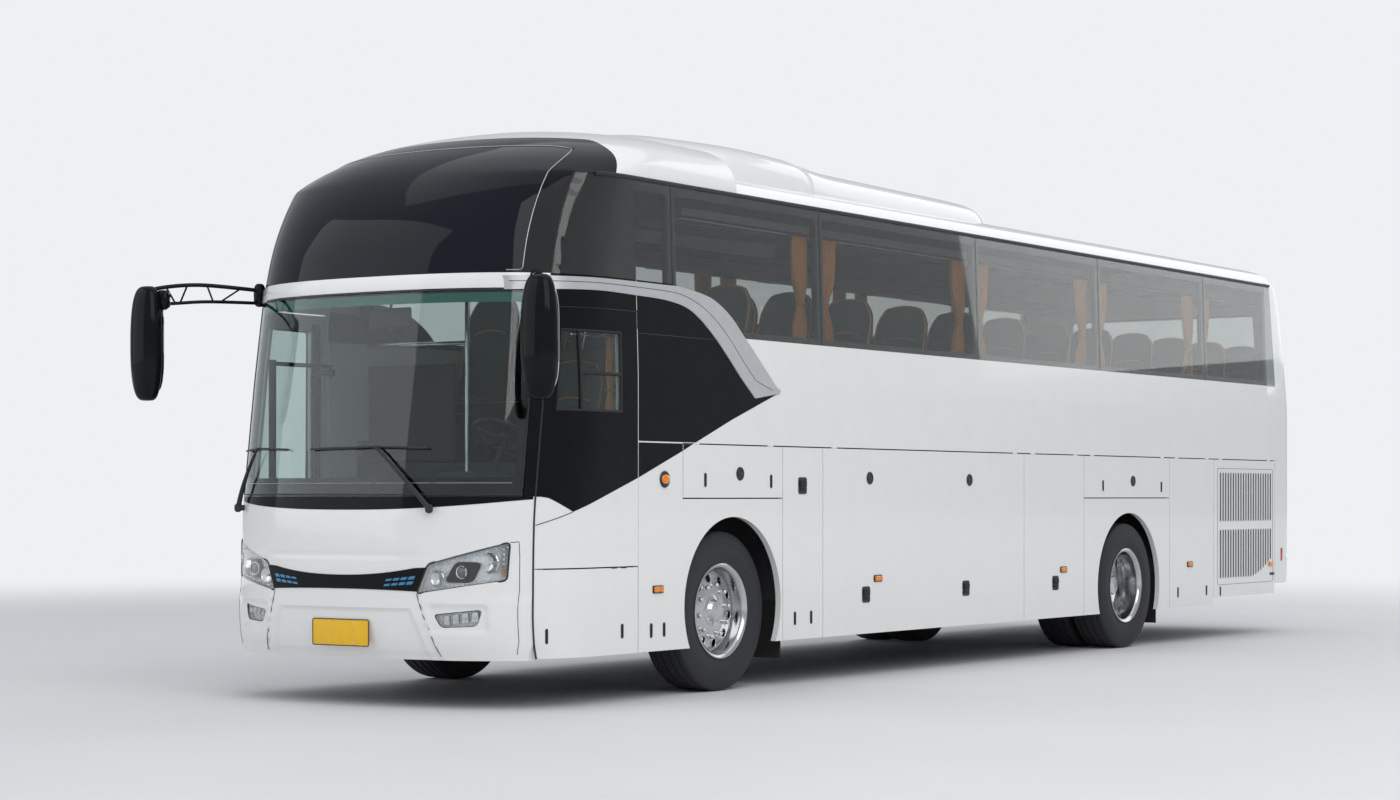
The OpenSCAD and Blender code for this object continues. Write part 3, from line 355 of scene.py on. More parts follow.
class Curve:
    """A smooth line through points, one value for each place, that never overshoots."""

    def __init__(self, *points: Point) -> None:
        """Works out a slope at each point.

        Args:
            points: pairs of place and value, with rising places.
        """
        self.at = [p[0] for p in points]
        self.value = [p[1] for p in points]
        steps = [b - a for a, b in zip(self.at, self.at[1:])]
        rises = [(b - a) / h for a, b, h in zip(self.value, self.value[1:], steps)]
        inner = [0.0 if a * b <= 0 else 2 * a * b / (a + b) for a, b in zip(rises, rises[1:])]
        self.slope = [rises[0], *inner, rises[-1]]

    def __call__(self, place: float) -> float:
        """The value at one place, held level beyond the ends."""
        if place <= self.at[0]:
            return self.value[0]
        if place >= self.at[-1]:
            return self.value[-1]
        i = bisect.bisect_right(self.at, place) - 1
        h = self.at[i + 1] - self.at[i]
        t = (place - self.at[i]) / h
        a, b = self.value[i], self.value[i + 1]
        p, q = self.slope[i] * h, self.slope[i + 1] * h
        return (a + p * t + (3 * (b - a) - 2 * p - q) * t ** 2 + (2 * (a - b) + p + q) * t ** 3)


def straight(place: float, points: Sequence[Point]) -> float:
    """The value at one place on straight lines between points."""
    if place <= points[0][0]:
        return points[0][1]
    for (a, u), (b, v) in zip(points, points[1:]):
        if place <= b:
            return u + (v - u) * (place - a) / (b - a)
    return points[-1][1]


def spread(a: float, b: float, count: int) -> list[float]:
    """Evenly spaced numbers from a to b, with count gaps between them."""
    return [a + (b - a) * i / count for i in range(count + 1)]


@dataclass(frozen=True)
class Body:
    """The outer surface of the coach, in metres; stations count from the front face."""

    front_y: float = -5.875
    length: float = 12.0
    half: float = 1.275
    lean_z: float = 2.0
    rail: float = 3.195
    lean: float = 0.035
    dome_top: float = 3.6
    roof_top: float = 3.425
    belt: float = 1.585
    cab_end: float = 1.28
    wall_end: float = 11.33
    seam_turn: float = 61.5
    nose: Curve = Curve((0.29, 0.07), (0.4, 0.022), (0.56, 0.0), (0.86, 0.0), (1.1, 0.008),
                        (1.25, 0.028), (1.6, 0.072), (2.0, 0.125), (2.48, 0.19), (2.57, 0.205),
                        (2.75, 0.245), (2.9, 0.305), (3.05, 0.395), (3.195, 0.52), (3.3, 0.65),
                        (3.4, 0.83), (3.47, 1.01), (3.52, 1.19), (3.56, 1.38), (3.585, 1.56),
                        (3.6, 1.8))
    corner: tuple[Point, ...] = ((0.3, 0.85), (1.25, 0.88), (2.57, 1.055), (3.195, 1.24),
                                 (3.6, 2.43))
    dome: Curve = Curve((3.195, 1.24), (3.3, 1.218), (3.4, 1.155), (3.47, 1.05), (3.52, 0.9),
                        (3.56, 0.7), (3.585, 0.4), (3.6, 0.02))
    tail: Curve = Curve((0.3, 0.06), (0.45, 0.02), (0.6, 0.0), (2.0, 0.0), (2.3, 0.025),
                        (2.6, 0.08), (2.9, 0.14), (3.1, 0.2), (3.195, 0.265), (3.27, 0.32),
                        (3.32, 0.35), (3.385, 0.4), (3.425, 0.44))
    roof: Curve = Curve((3.195, 1.24), (3.27, 1.19), (3.32, 1.11), (3.35, 1.0), (3.385, 0.8),
                        (3.41, 0.5), (3.425, 0.0))

    def y(self, station: float) -> float:
        """The Y of a station."""
        return self.front_y + station

    def side_x(self, z: float) -> float:
        """Half width of the coach at a height."""
        if z < self.lean_z:
            return self.half
        if z < self.rail:
            return self.half - self.lean * (z - self.lean_z) / (self.rail - self.lean_z)
        return self.dome(z)

    def skin(self, z: float, turn: float, inset: float = 0.0,
             end: float | None = None) -> Vector:
        """A point of the front surface: turns to 90 run round the corner, to 100 along the side."""
        x = self.side_x(z) - inset
        first = self.nose(z) + inset
        t = math.radians(min(abs(turn), 90))
        last = straight(z, self.corner)
        run = max(0.0, abs(turn) - 90) / 10
        drop = inset * max(0.0, (z - self.rail) / (self.dome_top - self.rail))
        station = (first + (last - first) * (1 - math.cos(t) ** 0.8)
                   + run * ((self.cab_end if end is None else end) - last))
        across = math.copysign(max(0.001, x) * math.sin(t) ** 0.8, turn)
        return Vector((across, self.y(station), z - drop))

    def front(self, x: float, z: float, out: float = 0.0) -> Vector:
        """The point of the front face in front of an X and a Z, moved out by a distance."""
        share = min(1.0, (abs(x) / (self.side_x(z) + out)) ** 1.25)
        first = self.nose(z) - out
        last = straight(z, self.corner)
        return Vector((x, self.y(first + (last - first) * (1 - (1 - share ** 2) ** 0.4)), z))

    def side(self, station: float, z: float, out: float = 0.0, sign: int = 1) -> Vector:
        """The point of the side at a station and a height, moved out by a distance."""
        x = self.side_x(z) + out
        first = self.nose(z) - out
        last = straight(z, self.corner)
        if station < last:
            share = max(0.0, 1 - (station - first) / (last - first)) ** 1.25
            x *= max(0.0, 1 - share ** 2) ** 0.4
        return Vector((sign * x, self.y(station), z))

    def start(self, z: float, turn: float = 62.0) -> float:
        """The station at which the side pieces begin."""
        first, last = self.nose(z), straight(z, self.corner)
        return first + (last - first) * (1 - math.cos(math.radians(turn)) ** 0.8)

    def stern(self, z: float, turn: float, inset: float = 0.0,
              end: float | None = None) -> Vector:
        """A point of the rear surface; turns as for the front, stations from the rear face."""
        x = (self.side_x(z) if z < self.rail else self.roof(z)) - inset
        first = self.tail(z) + inset
        t = math.radians(min(abs(turn), 90))
        corner = min(0.3, self.length - first - self.wall_end - 0.02)
        last = self.length - first - corner
        out = max(0.0, abs(turn) - 90) / 10
        drop = inset * max(0.0, (z - self.rail) / (self.roof_top - self.rail))
        station = (self.length - first - corner * (1 - math.cos(t) ** 0.5)
                   - out * (last - (self.wall_end if end is None else end)))
        across = math.copysign(max(0.001, x) * math.sin(t) ** 0.5, turn)
        return Vector((across, self.y(station), z - drop))


BODY = Body()
# Height of the edge between the black cap and the white dome, by turn from straight ahead
CAP_TOP = Curve((0, 3.478), (50, 3.455), (62, 3.385), (83, 3.195))
# Outlines of the left headlamp and fog lamp, as x and z
HEADLAMP: tuple[Point, ...] = ((0.557, 0.680), (1.050, 0.760), (1.062, 0.984), (0.629, 0.856))
FOG_LAMP: tuple[Point, ...] = ((0.657, 0.561), (0.700, 0.482), (0.905, 0.492), (0.933, 0.591))
Place = Callable[[float, float, float], Vector]


class Piece:
    """Collects solids with their finishes and turns them into one object."""

    def __init__(self, name: str) -> None:
        """Starts an empty piece."""
        self.name = name
        self.verts: list[Vector] = []
        self.faces: list[tuple[int, ...]] = []
        self.marks: list[int] = []
        self.finishes: list[Finish] = []

    def add(self, verts: Iterable[Vector], faces: Iterable[Sequence[int]],
            finish: Finish) -> "Piece":
        """Adds one solid.

        Args:
            verts: its corners.
            faces: its faces, as numbers of corners.
            finish: its finish.

        Returns:
            The piece itself.
        """
        if finish not in self.finishes:
            self.finishes.append(finish)
        first, mark = len(self.verts), self.finishes.index(finish)
        self.verts += [Vector(v) for v in verts]
        for face in faces:
            self.faces.append(tuple(first + i for i in face))
            self.marks.append(mark)
        return self

    def build(self, body: str = ROOT, slot: str = "", stands_for: Sequence[str] = (),
              sharp: float = 35.0) -> bpy.types.Object:
        """Makes the object, smooth but for its sharp edges.

        Args:
            body: the body that it rides on.
            slot: not used.
            stands_for: CAD nodes that it is shown in place of.
            sharp: the angle in degrees above which an edge stays sharp.

        Returns:
            The object.
        """
        data = bpy.data.meshes.new(self.name)
        data.from_pydata([tuple(v) for v in self.verts], [], self.faces)
        for finish in self.finishes:
            data.materials.append(finish.make())
        data.polygons.foreach_set("material_index", self.marks)
        work = bmesh.new()
        work.from_mesh(data)
        bmesh.ops.recalc_face_normals(work, faces=work.faces)
        work.to_mesh(data)
        work.free()
        data.shade_smooth()
        data.set_sharp_from_angle(angle=math.radians(sharp))
        made = bpy.data.objects.new(self.name, data)
        bpy.context.scene.collection.objects.link(made)
        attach(made, body)
        if stands_for:
            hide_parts(*stands_for)
        log.info("%s: %d faces", self.name, len(self.faces))
        return made


Solid = tuple[list[Vector], list[tuple[int, ...]]]


def thicken(outer: Sequence[Vector], inner: Sequence[Vector],
            faces: Sequence[tuple[int, ...]]) -> Solid:
    """A closed solid between two like surfaces.

    Args:
        outer: points of the surface that shows.
        inner: the same points on the surface behind it.
        faces: faces over those points.

    Returns:
        Corners and faces.
    """
    count = len(outer)
    seen: dict[tuple[int, int], int] = {}
    for face in faces:
        for a, b in zip(face, face[1:] + face[:1]):
            key = (min(a, b), max(a, b))
            seen[key] = seen.get(key, 0) + 1
    rim = []
    for face in faces:
        for a, b in zip(face, face[1:] + face[:1]):
            if seen[(min(a, b), max(a, b))] == 1:
                rim.append((b, a, a + count, b + count))
    back = [tuple(i + count for i in reversed(face)) for face in faces]
    return [*outer, *inner], [*faces, *back, *rim]


def inside(points: np.ndarray, rings: Sequence[np.ndarray]) -> np.ndarray:
    """Which points lie within outlines, with holes counted out."""
    hit = np.zeros(len(points), bool)
    for ring in rings:
        for (ax, ay), (bx, by) in zip(ring, np.roll(ring, -1, 0)):
            if ay == by:
                continue
            crosses = (ay > points[:, 1]) != (by > points[:, 1])
            place = ax + (points[:, 1] - ay) * (bx - ax) / (by - ay)
            hit ^= crosses & (points[:, 0] < place)
    return hit


def net(loops: Sequence[Sequence[Point]], step: float) -> tuple[list[Point], list[tuple]]:
    """Covers a flat outline, with holes, with even triangles.

    Args:
        loops: the outline first, then each hole.
        step: the length of a triangle's side.

    Returns:
        Flat points and triangles.
    """
    rings, edges, points = [], [], []
    for loop in loops:
        ring = []
        for a, b in zip(loop, [*loop[1:], loop[0]]):
            parts = max(1, math.ceil(math.dist(a, b) / step))
            ring += [(a[0] + (b[0] - a[0]) * i / parts, a[1] + (b[1] - a[1]) * i / parts)
                     for i in range(parts)]
        first = len(points)
        edges += [(first + i, first + (i + 1) % len(ring)) for i in range(len(ring))]
        points += ring
        rings.append(np.array(ring))
    rim = np.concatenate(rings)
    low, high = rim.min(0), rim.max(0)
    rows = np.arange(low[1] + step / 2, high[1], step * 0.87)
    fill = np.array([(x + (step / 2 if j % 2 else 0), y) for j, y in enumerate(rows)
                     for x in np.arange(low[0] + step / 2, high[0], step)]).reshape(-1, 2)
    if len(fill):
        fill = fill[inside(fill, rings)]
    if len(fill):
        near = np.min(np.linalg.norm(fill[:, None] - rim[None], axis=2), axis=1)
        fill = fill[near > step * 0.55]
    flat = [Vector(p) for p in [*points, *map(tuple, fill)]]
    verts, _, faces, *_ = delaunay_2d_cdt(flat, edges, [], 0, 1e-6)
    middles = np.array([[sum(verts[i][k] for i in f) / len(f) for k in (0, 1)] for f in faces])
    keep = inside(middles, rings)
    return [tuple(v) for v in verts], [tuple(f) for f, k in zip(faces, keep) if k]


def plate(loops: Sequence[Sequence[Point]], step: float, place: Place, thick: float,
          lift: float = 0.0) -> Solid:
    """A panel over an outline on a curved surface.

    Args:
        loops: the outline, then each hole, as flat points.
        step: the length of a triangle's side.
        place: turns a flat point and a distance outwards into a place.
        thick: thickness inwards.
        lift: how far its face stands out.

    Returns:
        Corners and faces.
    """
    flat, faces = net(loops, step)
    return thicken([place(a, b, lift) for a, b in flat],
                   [place(a, b, lift - thick) for a, b in flat], faces)


def sheet(rows: int, columns: int, point: Callable[[int, int, float], Vector], thick: float,
          gone: Callable[[int, int], bool] | None = None) -> Solid:
    """A shell over a grid of rows and columns.

    Args:
        rows: number of gaps between rows.
        columns: number of gaps between columns.
        point: gives the place of a row and a column at a depth.
        thick: depth of the back face.
        gone: tells which cells are left out.

    Returns:
        Corners and faces.
    """
    wide = columns + 1
    spots = [(i, j) for i in range(rows + 1) for j in range(wide)]
    faces = [(i * wide + j, i * wide + j + 1, (i + 1) * wide + j + 1, (i + 1) * wide + j)
             for i in range(rows) for j in range(columns) if not (gone and gone(i, j))]
    return thicken([point(i, j, 0.0) for i, j in spots],
                   [point(i, j, thick) for i, j in spots], faces)


def turned(profile: Sequence[Point], centre: Vector, axis: Vector, count: int = 64) -> Solid:
    """A closed outline of radius against depth, turned about an axis."""
    away = axis.orthogonal().normalized()
    other = axis.cross(away)
    size = len(profile)
    verts = []
    for i in range(count):
        angle = 2 * math.pi * i / count
        ray = away * math.cos(angle) + other * math.sin(angle)
        verts += [centre + ray * r + axis * d for r, d in profile]
    faces = [(i * size + j, i * size + (j + 1) % size, ((i + 1) % count) * size + (j + 1) % size,
              ((i + 1) % count) * size + j) for i in range(count) for j in range(size)]
    return verts, faces


def around(rows: int, columns: int) -> list[tuple[int, ...]]:
    """Faces of a grid whose columns close into a ring."""
    return [(i * columns + j, i * columns + (j + 1) % columns,
             (i + 1) * columns + (j + 1) % columns, (i + 1) * columns + j)
            for i in range(rows) for j in range(columns)]


def tube(path: Sequence[Vector], radius: float | Sequence[float], sides: int = 12,
         flat: float = 1.0) -> Solid:
    """A round bar along a path, closed at both ends.

    Args:
        path: points along its middle.
        radius: its radius, or one for each point.
        sides: number of sides.
        flat: its thickness as a share of its width.

    Returns:
        Corners and faces.
    """
    path = [Vector(p) for p in path]
    sizes = [radius] * len(path) if isinstance(radius, float) else list(radius)
    verts: list[Vector] = []
    up = None
    for i, p in enumerate(path):
        along = (path[min(i + 1, len(path) - 1)] - path[max(i - 1, 0)]).normalized()
        up = (along.orthogonal() if up is None else up - along * up.dot(along)).normalized()
        other = along.cross(up)
        verts += [p + (up * math.cos(a) + other * math.sin(a) * flat) * sizes[i]
                  for a in spread(0, 2 * math.pi, sides)[:-1]]
    faces = around(len(path) - 1, sides)
    last = (len(path) - 1) * sides
    faces += [tuple(range(sides))[::-1], tuple(range(last, last + sides))]
    return verts, faces


def block(low: Sequence[float], high: Sequence[float], round_by: float = 0.0,
          steps: int = 3) -> Solid:
    """A box between two corners, with rounded edges."""
    work = bmesh.new()
    bmesh.ops.create_cube(work, size=1.0)
    for v in work.verts:
        v.co = Vector([(a + b) / 2 + c * (b - a) for a, b, c in zip(low, high, v.co)])
    if round_by:
        bmesh.ops.bevel(work, geom=work.edges[:], offset=round_by, segments=steps,
                        profile=0.5, affect="EDGES", clamp_overlap=True)
    solid = [v.co.copy() for v in work.verts], [tuple(v.index for v in f.verts)
                                                for f in work.faces]
    work.free()
    return solid


def pillow(centre: Vector, size: Sequence[float], power: float = 3.0, rows: int = 14,
           columns: int = 28) -> Solid:
    """A closed rounded form; a higher power makes it squarer."""
    def bend(value: float) -> float:
        """Squares off a sine or cosine."""
        return math.copysign(abs(value) ** (2 / power), value)
    verts = []
    for i in range(rows + 1):
        a = math.pi * i / rows - math.pi / 2
        for j in range(columns):
            b = 2 * math.pi * j / columns
            verts.append(centre + Vector((size[0] * bend(math.cos(a)) * bend(math.cos(b)),
                                          size[1] * bend(math.cos(a)) * bend(math.sin(b)),
                                          size[2] * bend(math.sin(a)))))
    faces = around(rows, columns)
    return verts, faces


def ring(centre: Point, radius: float, count: int = 24) -> list[Point]:
    """A round outline."""
    return [(centre[0] + radius * math.cos(a), centre[1] + radius * math.sin(a))
            for a in spread(0, 2 * math.pi, count)[:-1]]


def slot_shape(centre: Point, width: float, height: float, lean: float = 0.0) -> list[Point]:
    """An upright or lying outline with round ends."""
    radius = min(width, height) / 2
    reach_a, reach_b = width / 2 - radius, height / 2 - radius
    shape = []
    for a in spread(0, 2 * math.pi, 24)[:-1]:
        p = (math.copysign(reach_a, math.cos(a)) + radius * math.cos(a),
             math.copysign(reach_b, math.sin(a)) + radius * math.sin(a))
        shape.append((centre[0] + p[0] + lean * p[1], centre[1] + p[1]))
    return shape


def corners(low: Point, high: Point) -> list[Point]:
    """A rectangle's outline."""
    return [low, (high[0], low[1]), high, (low[0], high[1])]


def soften(shape: Sequence[Point], radius: float, count: int = 5) -> list[Point]:
    """An outline with its corners rounded."""
    made = []
    for before, here, after in zip([shape[-1], *shape[:-1]], shape, [*shape[1:], shape[0]]):
        p, q, r = Vector(before), Vector(here), Vector(after)
        cut = min(radius, (p - q).length * 0.45, (r - q).length * 0.45)
        a, b = q + (p - q).normalized() * cut, q + (r - q).normalized() * cut
        made += [tuple(a * (1 - t) ** 2 + q * 2 * t * (1 - t) + b * t ** 2)
                 for t in spread(0, 1, count)]
    return made


@dataclass
class FrontEnd:
    """Bumper, mask, windscreen, white band and black cap."""

    low: float = 0.29
    mask_top: float = 1.2496
    band: tuple[float, float] = (2.48, 2.5696)
    thick: float = 0.05
    frit_top: float = 1.362
    plate_half: float = 0.22
    plate_z: tuple[float, float] = (0.364, 0.520)
    headlamp: tuple[Point, ...] = HEADLAMP
    fog: tuple[Point, ...] = FOG_LAMP

    def build(self) -> None:
        """Builds every piece of the front."""
        self._bumper()
        self._strip()
        self._number_plate()
        self._screen()
        self._band()
        self._cap()

    def _edge_x(self, z: float) -> float:
        """The X at which the front pieces end."""
        return BODY.skin(z, BODY.seam_turn).x

    def _relief(self, x: float, z: float) -> float:
        """How far the bumper's face stands out at a point."""
        def ramp(value: float, wide: float) -> float:
            """A smooth step from 0 to 1 over a width."""
            t = min(1.0, max(0.0, value / wide + 0.5))
            return t * t * (3 - 2 * t)
        x = abs(x)
        side_line = 0.565 + 0.30 * (0.68 - z)
        tray = ramp(0.585 - z, 0.02) * ramp(side_line - 0.075 - 0.16 * max(0, z - 0.5) - x, 0.03)
        groove = math.exp(-((x - side_line) / 0.004) ** 2) if z < 0.675 else 0.0
        lip = math.exp(-((z - 0.345) / 0.010) ** 2) * ramp(side_line - x, 0.05)
        fog_well = ramp(0.16 - abs(x - 0.80), 0.03) * ramp(0.075 - abs(z - 0.535), 0.03)
        cheek = 0.010 * ramp(x - side_line, 0.03) * ramp(0.66 - z, 0.1)
        brow = 0.006 * math.exp(-((z - 0.905) / 0.016) ** 2) * ramp(0.62 - x, 0.3)
        return (-0.014 * tray - 0.008 * groove + 0.004 * lip - 0.016 * fog_well + cheek
                - brow)

    def _place(self, x: float, z: float, out: float) -> Vector:
        """A point of the bumper and mask."""
        return BODY.front(x, z, out + self._relief(x, z))

    def _outline(self, low: float, high: float) -> list[Point]:
        """The front's outline between two heights, narrowed at the lower corners."""
        rows = spread(low, high, 10)
        right = [(self._edge_x(z) - max(0.0, 0.33 - z) * 0.6, z) for z in rows]
        return [*right, *[(-x, z) for x, z in reversed(right)]]

    def _bumper(self) -> None:
        """Bumper and mask in one, open at the lamps."""
        holes = []
        for shape in (self.headlamp, self.fog):
            round_shape = soften(shape, 0.028)
            holes += [round_shape, [(-x, z) for x, z in round_shape]]
        piece = Piece("front_panels")
        piece.add(*plate([self._outline(self.low, self.mask_top), *holes], 0.017, self._place,
                         self.thick), WHITE)
        piece.build(slot="body_white", stands_for=("front_bumper", "front_mask"))
        self._seams()

    def _seams(self) -> None:
        """Dark joints between the bumper, its corners and the mask."""
        piece = Piece("front_panel_joints")
        wide = 0.0022
        paths = [[(1.062, 0.982), (1.098, 0.986), (1.102, 0.90), (1.102, 0.40), (1.085, 0.32)],
                 [(0.557, 0.680), (0.60, 0.55), (0.655, 0.40), (0.685, 0.305)]]
        for path in paths:
            for sign in (-1, 1):
                fine = [(a[0] + (b[0] - a[0]) * t, a[1] + (b[1] - a[1]) * t)
                        for a, b in zip(path, path[1:]) for t in spread(0, 1, 10)[:-1]]
                piece.add(*tube([self._place(sign * x, z, 0.0) for x, z in fine], wide, 6), TRIM)
        piece.build(slot="rubber_black")

    def _strip(self) -> None:
        """The black strip between the headlamps, with its blue marks."""
        def edges(x: float) -> tuple[float, float]:
            """Lower and upper edge of the strip."""
            share = min(1.0, abs(x) / 0.6) ** 2.2
            return 0.704 - 0.012 * share, 0.786 + 0.056 * share
        piece = Piece("front_strip")
        columns = spread(-0.565, 0.565, 56)
        low = [(x, edges(x)[0]) for x in columns]
        high = [(x + math.copysign(0.055, x) * (abs(x) > 0.56), edges(x)[1])
                for x in reversed(columns)]
        piece.add(*plate([[*low, *high]], 0.02, self._place, 0.004, 0.004), BLACK)
        for sign in (-1, 1):
            for column in range(4):
                for row in range(2):
                    a = 0.335 + column * 0.052 + row * 0.012
                    z = 0.722 + row * 0.030 + column * 0.0035
                    tall = 0.019 - 0.002 * (3 - column)
                    shape = [(a, z), (a + 0.040, z + 0.003), (a + 0.052, z + 0.003 + tall),
                             (a + 0.012, z + tall)]
                    piece.add(*plate([[(sign * x, h) for x, h in shape]], 0.02, self._place,
                                     0.002, 0.0055), BLUE_MARK)
        piece.build(slot="black_panel")

    def _number_plate(self) -> None:
        """A blank plate in its raised frame."""
        low, high = self.plate_z
        piece = Piece("number_plate")
        half = self.plate_half
        middle_y = BODY.front(0, sum(self.plate_z) / 2, -0.006).y
        piece.add(*block((-half, middle_y - 0.010, low), (half, middle_y - 0.004, high), 0.002),
                  PLATE)
        rim = [(-half, low), (half, low), (half, high), (-half, high)]
        path = [Vector((x, middle_y - 0.010, z)) for x, z in soften(rim, 0.012)]
        piece.add(*tube([*path, path[0]], 0.003, 8), TRIM)
        for x in (-0.10, 0.10):
            for z in (low + 0.018, high - 0.018):
                piece.add(*pillow(Vector((x, middle_y - 0.010, z)), (0.005, 0.003, 0.005), 2, 6, 10),
                          CHROME)
        piece.build(slot="trim_plastic")

    def _screen(self) -> None:
        """The windscreen, its black border, its seal and the black corner pillars."""
        rows, columns, half = 22, 60, 56.6
        low, high = 1.2504, 2.4796
        teal_low, teal_top, frit_turn, paint = 2.395, 2.452, 53.0, 0.0104
        def at(i: int, j: int, depth: float) -> Vector:
            """A point of the windscreen."""
            z = low + (high - low) * i / rows
            return BODY.skin(z, -half + 2 * half * j / columns, 0.002 + depth)
        glass = Piece("windscreen_glass")
        glass.add(*sheet(rows, columns, at, 0.008), CLEAR_GLASS)
        glass.build(slot="clear_glass", stands_for=("windscreen",))
        border = Piece("windscreen_border")
        for z0, z1, a, b, n in ((low, self.frit_top, -half, half, 60), (teal_top, high, -half, half, 60),
                                (self.frit_top, teal_top, frit_turn, half, 4),
                                (self.frit_top, teal_top, -half, -frit_turn, 4)):
            border.add(*sheet(8, n, lambda i, j, d, z0=z0, z1=z1, a=a, b=b, n=n: BODY.skin(
                z0 + (z1 - z0) * i / 8, a + (b - a) * j / n, paint + d), 0.002), BLACK)
        border.add(*sheet(3, 60, lambda i, j, d: BODY.skin(
            teal_low + (teal_top - teal_low) * i / 3, -frit_turn + 2 * frit_turn * j / 60,
            paint + d), 0.001), TEAL_BAND)
        for sign in (-1, 1):
            border.add(*sheet(40, 5, lambda i, j, d, sign=sign: BODY.skin(
                low + (high - low) * i / 40, sign * (57.0 + 4.5 * j / 5), d), 0.05), BLACK)
        # Black paint below the glass: its lower edge dips towards the middle
        top = [(x, self.mask_top) for x in spread(-1.145, 1.145, 50)]
        dip = [(x, 1.172 + 0.062 * (abs(x) / 1.145) ** 2.4) for x in reversed([p[0] for p in top])]
        border.add(*plate([[*top, *dip]], 0.03, self._place, 0.0015, 0.0015), BLACK)
        border.build(slot="black_panel")
        seal = Piece("windscreen_seal")
        ring_path = [(low + 0.012, t) for t in spread(-55.9, 55.9, 60)]
        ring_path += [(z, 56.3) for z in spread(low + 0.05, high - 0.05, 20)]
        ring_path += [(high - 0.010, t) for t in spread(55.9, -55.9, 60)]
        ring_path += [(z, -56.3) for z in spread(high - 0.05, low + 0.05, 20)]
        points = [BODY.skin(z, t, 0.001) for z, t in ring_path]
        seal.add(*tube([*points, points[0]], 0.0045, 8), TRIM)
        inner = [(1.330, t) for t in spread(-52.2, 52.2, 50)]
        points = [BODY.skin(z, t, 0.001) for z, t in inner]
        seal.add(*tube(points, 0.0018, 6), SILVER)
        seal.build(slot="rubber_black")

    def _band(self) -> None:
        """The white band over the windscreen."""
        low, high = self.band
        piece = Piece("white_band")
        def at(i: int, j: int, depth: float) -> Vector:
            """A point of the band, a little crowned."""
            share = i / 8
            crown = 0.006 * (1 - (2 * share - 1) ** 2)
            return BODY.skin(low + (high - low) * share, -61.3 + 122.6 * j / 70, depth - crown)
        piece.add(*sheet(8, 70, at, self.thick), WHITE)
        piece.build(slot="body_white", stands_for=("front_band",))

    def _cap(self) -> None:
        """The upper front glass, its black frame and the bright line between them."""
        crest = Curve((0, 3.396), (40, 3.384), (49.9, 3.361))
        foot, seam = 2.5704, 0.0004
        def glass_at(i: int, j: int, depth: float) -> Vector:
            """A point of the upper front glass."""
            turn = -49.9 + 99.8 * j / 64
            z = foot + (crest(abs(turn)) - foot) * i / 40
            return BODY.skin(z, turn, 0.002 + depth)
        glass = Piece("cap_glass")
        glass.add(*sheet(40, 64, glass_at, 0.008), CAP_GLASS)
        glass.build(slot="black_panel", stands_for=("front_cap",))
        low = Curve((0, 3.4), (40, 3.39), (50, 3.372))
        frame_piece = Piece("cap_surround")
        def bar_at(i: int, j: int, depth: float) -> Vector:
            """A point of the bar over the glass."""
            turn = -50 + 100 * j / 64
            z0, z1 = low(abs(turn)), CAP_TOP(abs(turn)) - seam
            return BODY.skin(z0 + (z1 - z0) * i / 8, turn, depth)
        frame_piece.add(*sheet(8, 64, bar_at, self.thick), BLACK)
        for sign in (-1, 1):
            def post_at(i: int, j: int, depth: float, sign: int = sign) -> Vector:
                """A point of a pillar, from the band up to the bar."""
                turn = 50 + 11.5 * j / 8
                ceiling = CAP_TOP(turn) - seam
                return BODY.skin(foot + (ceiling - foot) * i / 40, sign * turn, depth)
            frame_piece.add(*sheet(40, 8, post_at, self.thick), BLACK)
            def brow_at(i: int, j: int, depth: float, sign: int = sign) -> Vector:
                """A point of the tail over the front of the side glass."""
                turn = 61.5 + 21.0 * j / 14
                ceiling = max(3.1954, CAP_TOP(turn) - seam)
                return BODY.skin(3.1950 + (ceiling - 3.1950) * i / 6, sign * turn, depth)
            frame_piece.add(*sheet(6, 14, brow_at, self.thick), BLACK)
        frame_piece.build(slot="black_panel", stands_for=("cap_frame",))
        line = Piece("cap_bright_line")
        for sign in (-1, 1):
            path = [BODY.skin(2.586, sign * t, 0.0) for t in spread(44, 49.2, 8)]
            path += [BODY.skin(z, sign * 50.1, 0.0) for z in spread(2.60, 3.34, 40)]
            path += [BODY.skin(crest(t) + 0.004, sign * t, 0.0) for t in spread(49.2, 0, 30)]
            line.add(*tube(path, 0.0032, 8), SILVER)
            path = [BODY.skin(z, sign * 61.6, 0.001) for z in spread(2.575, 3.19, 40)]
            line.add(*tube(path, 0.006, 8), TRIM)
        line.build(slot="alloy")


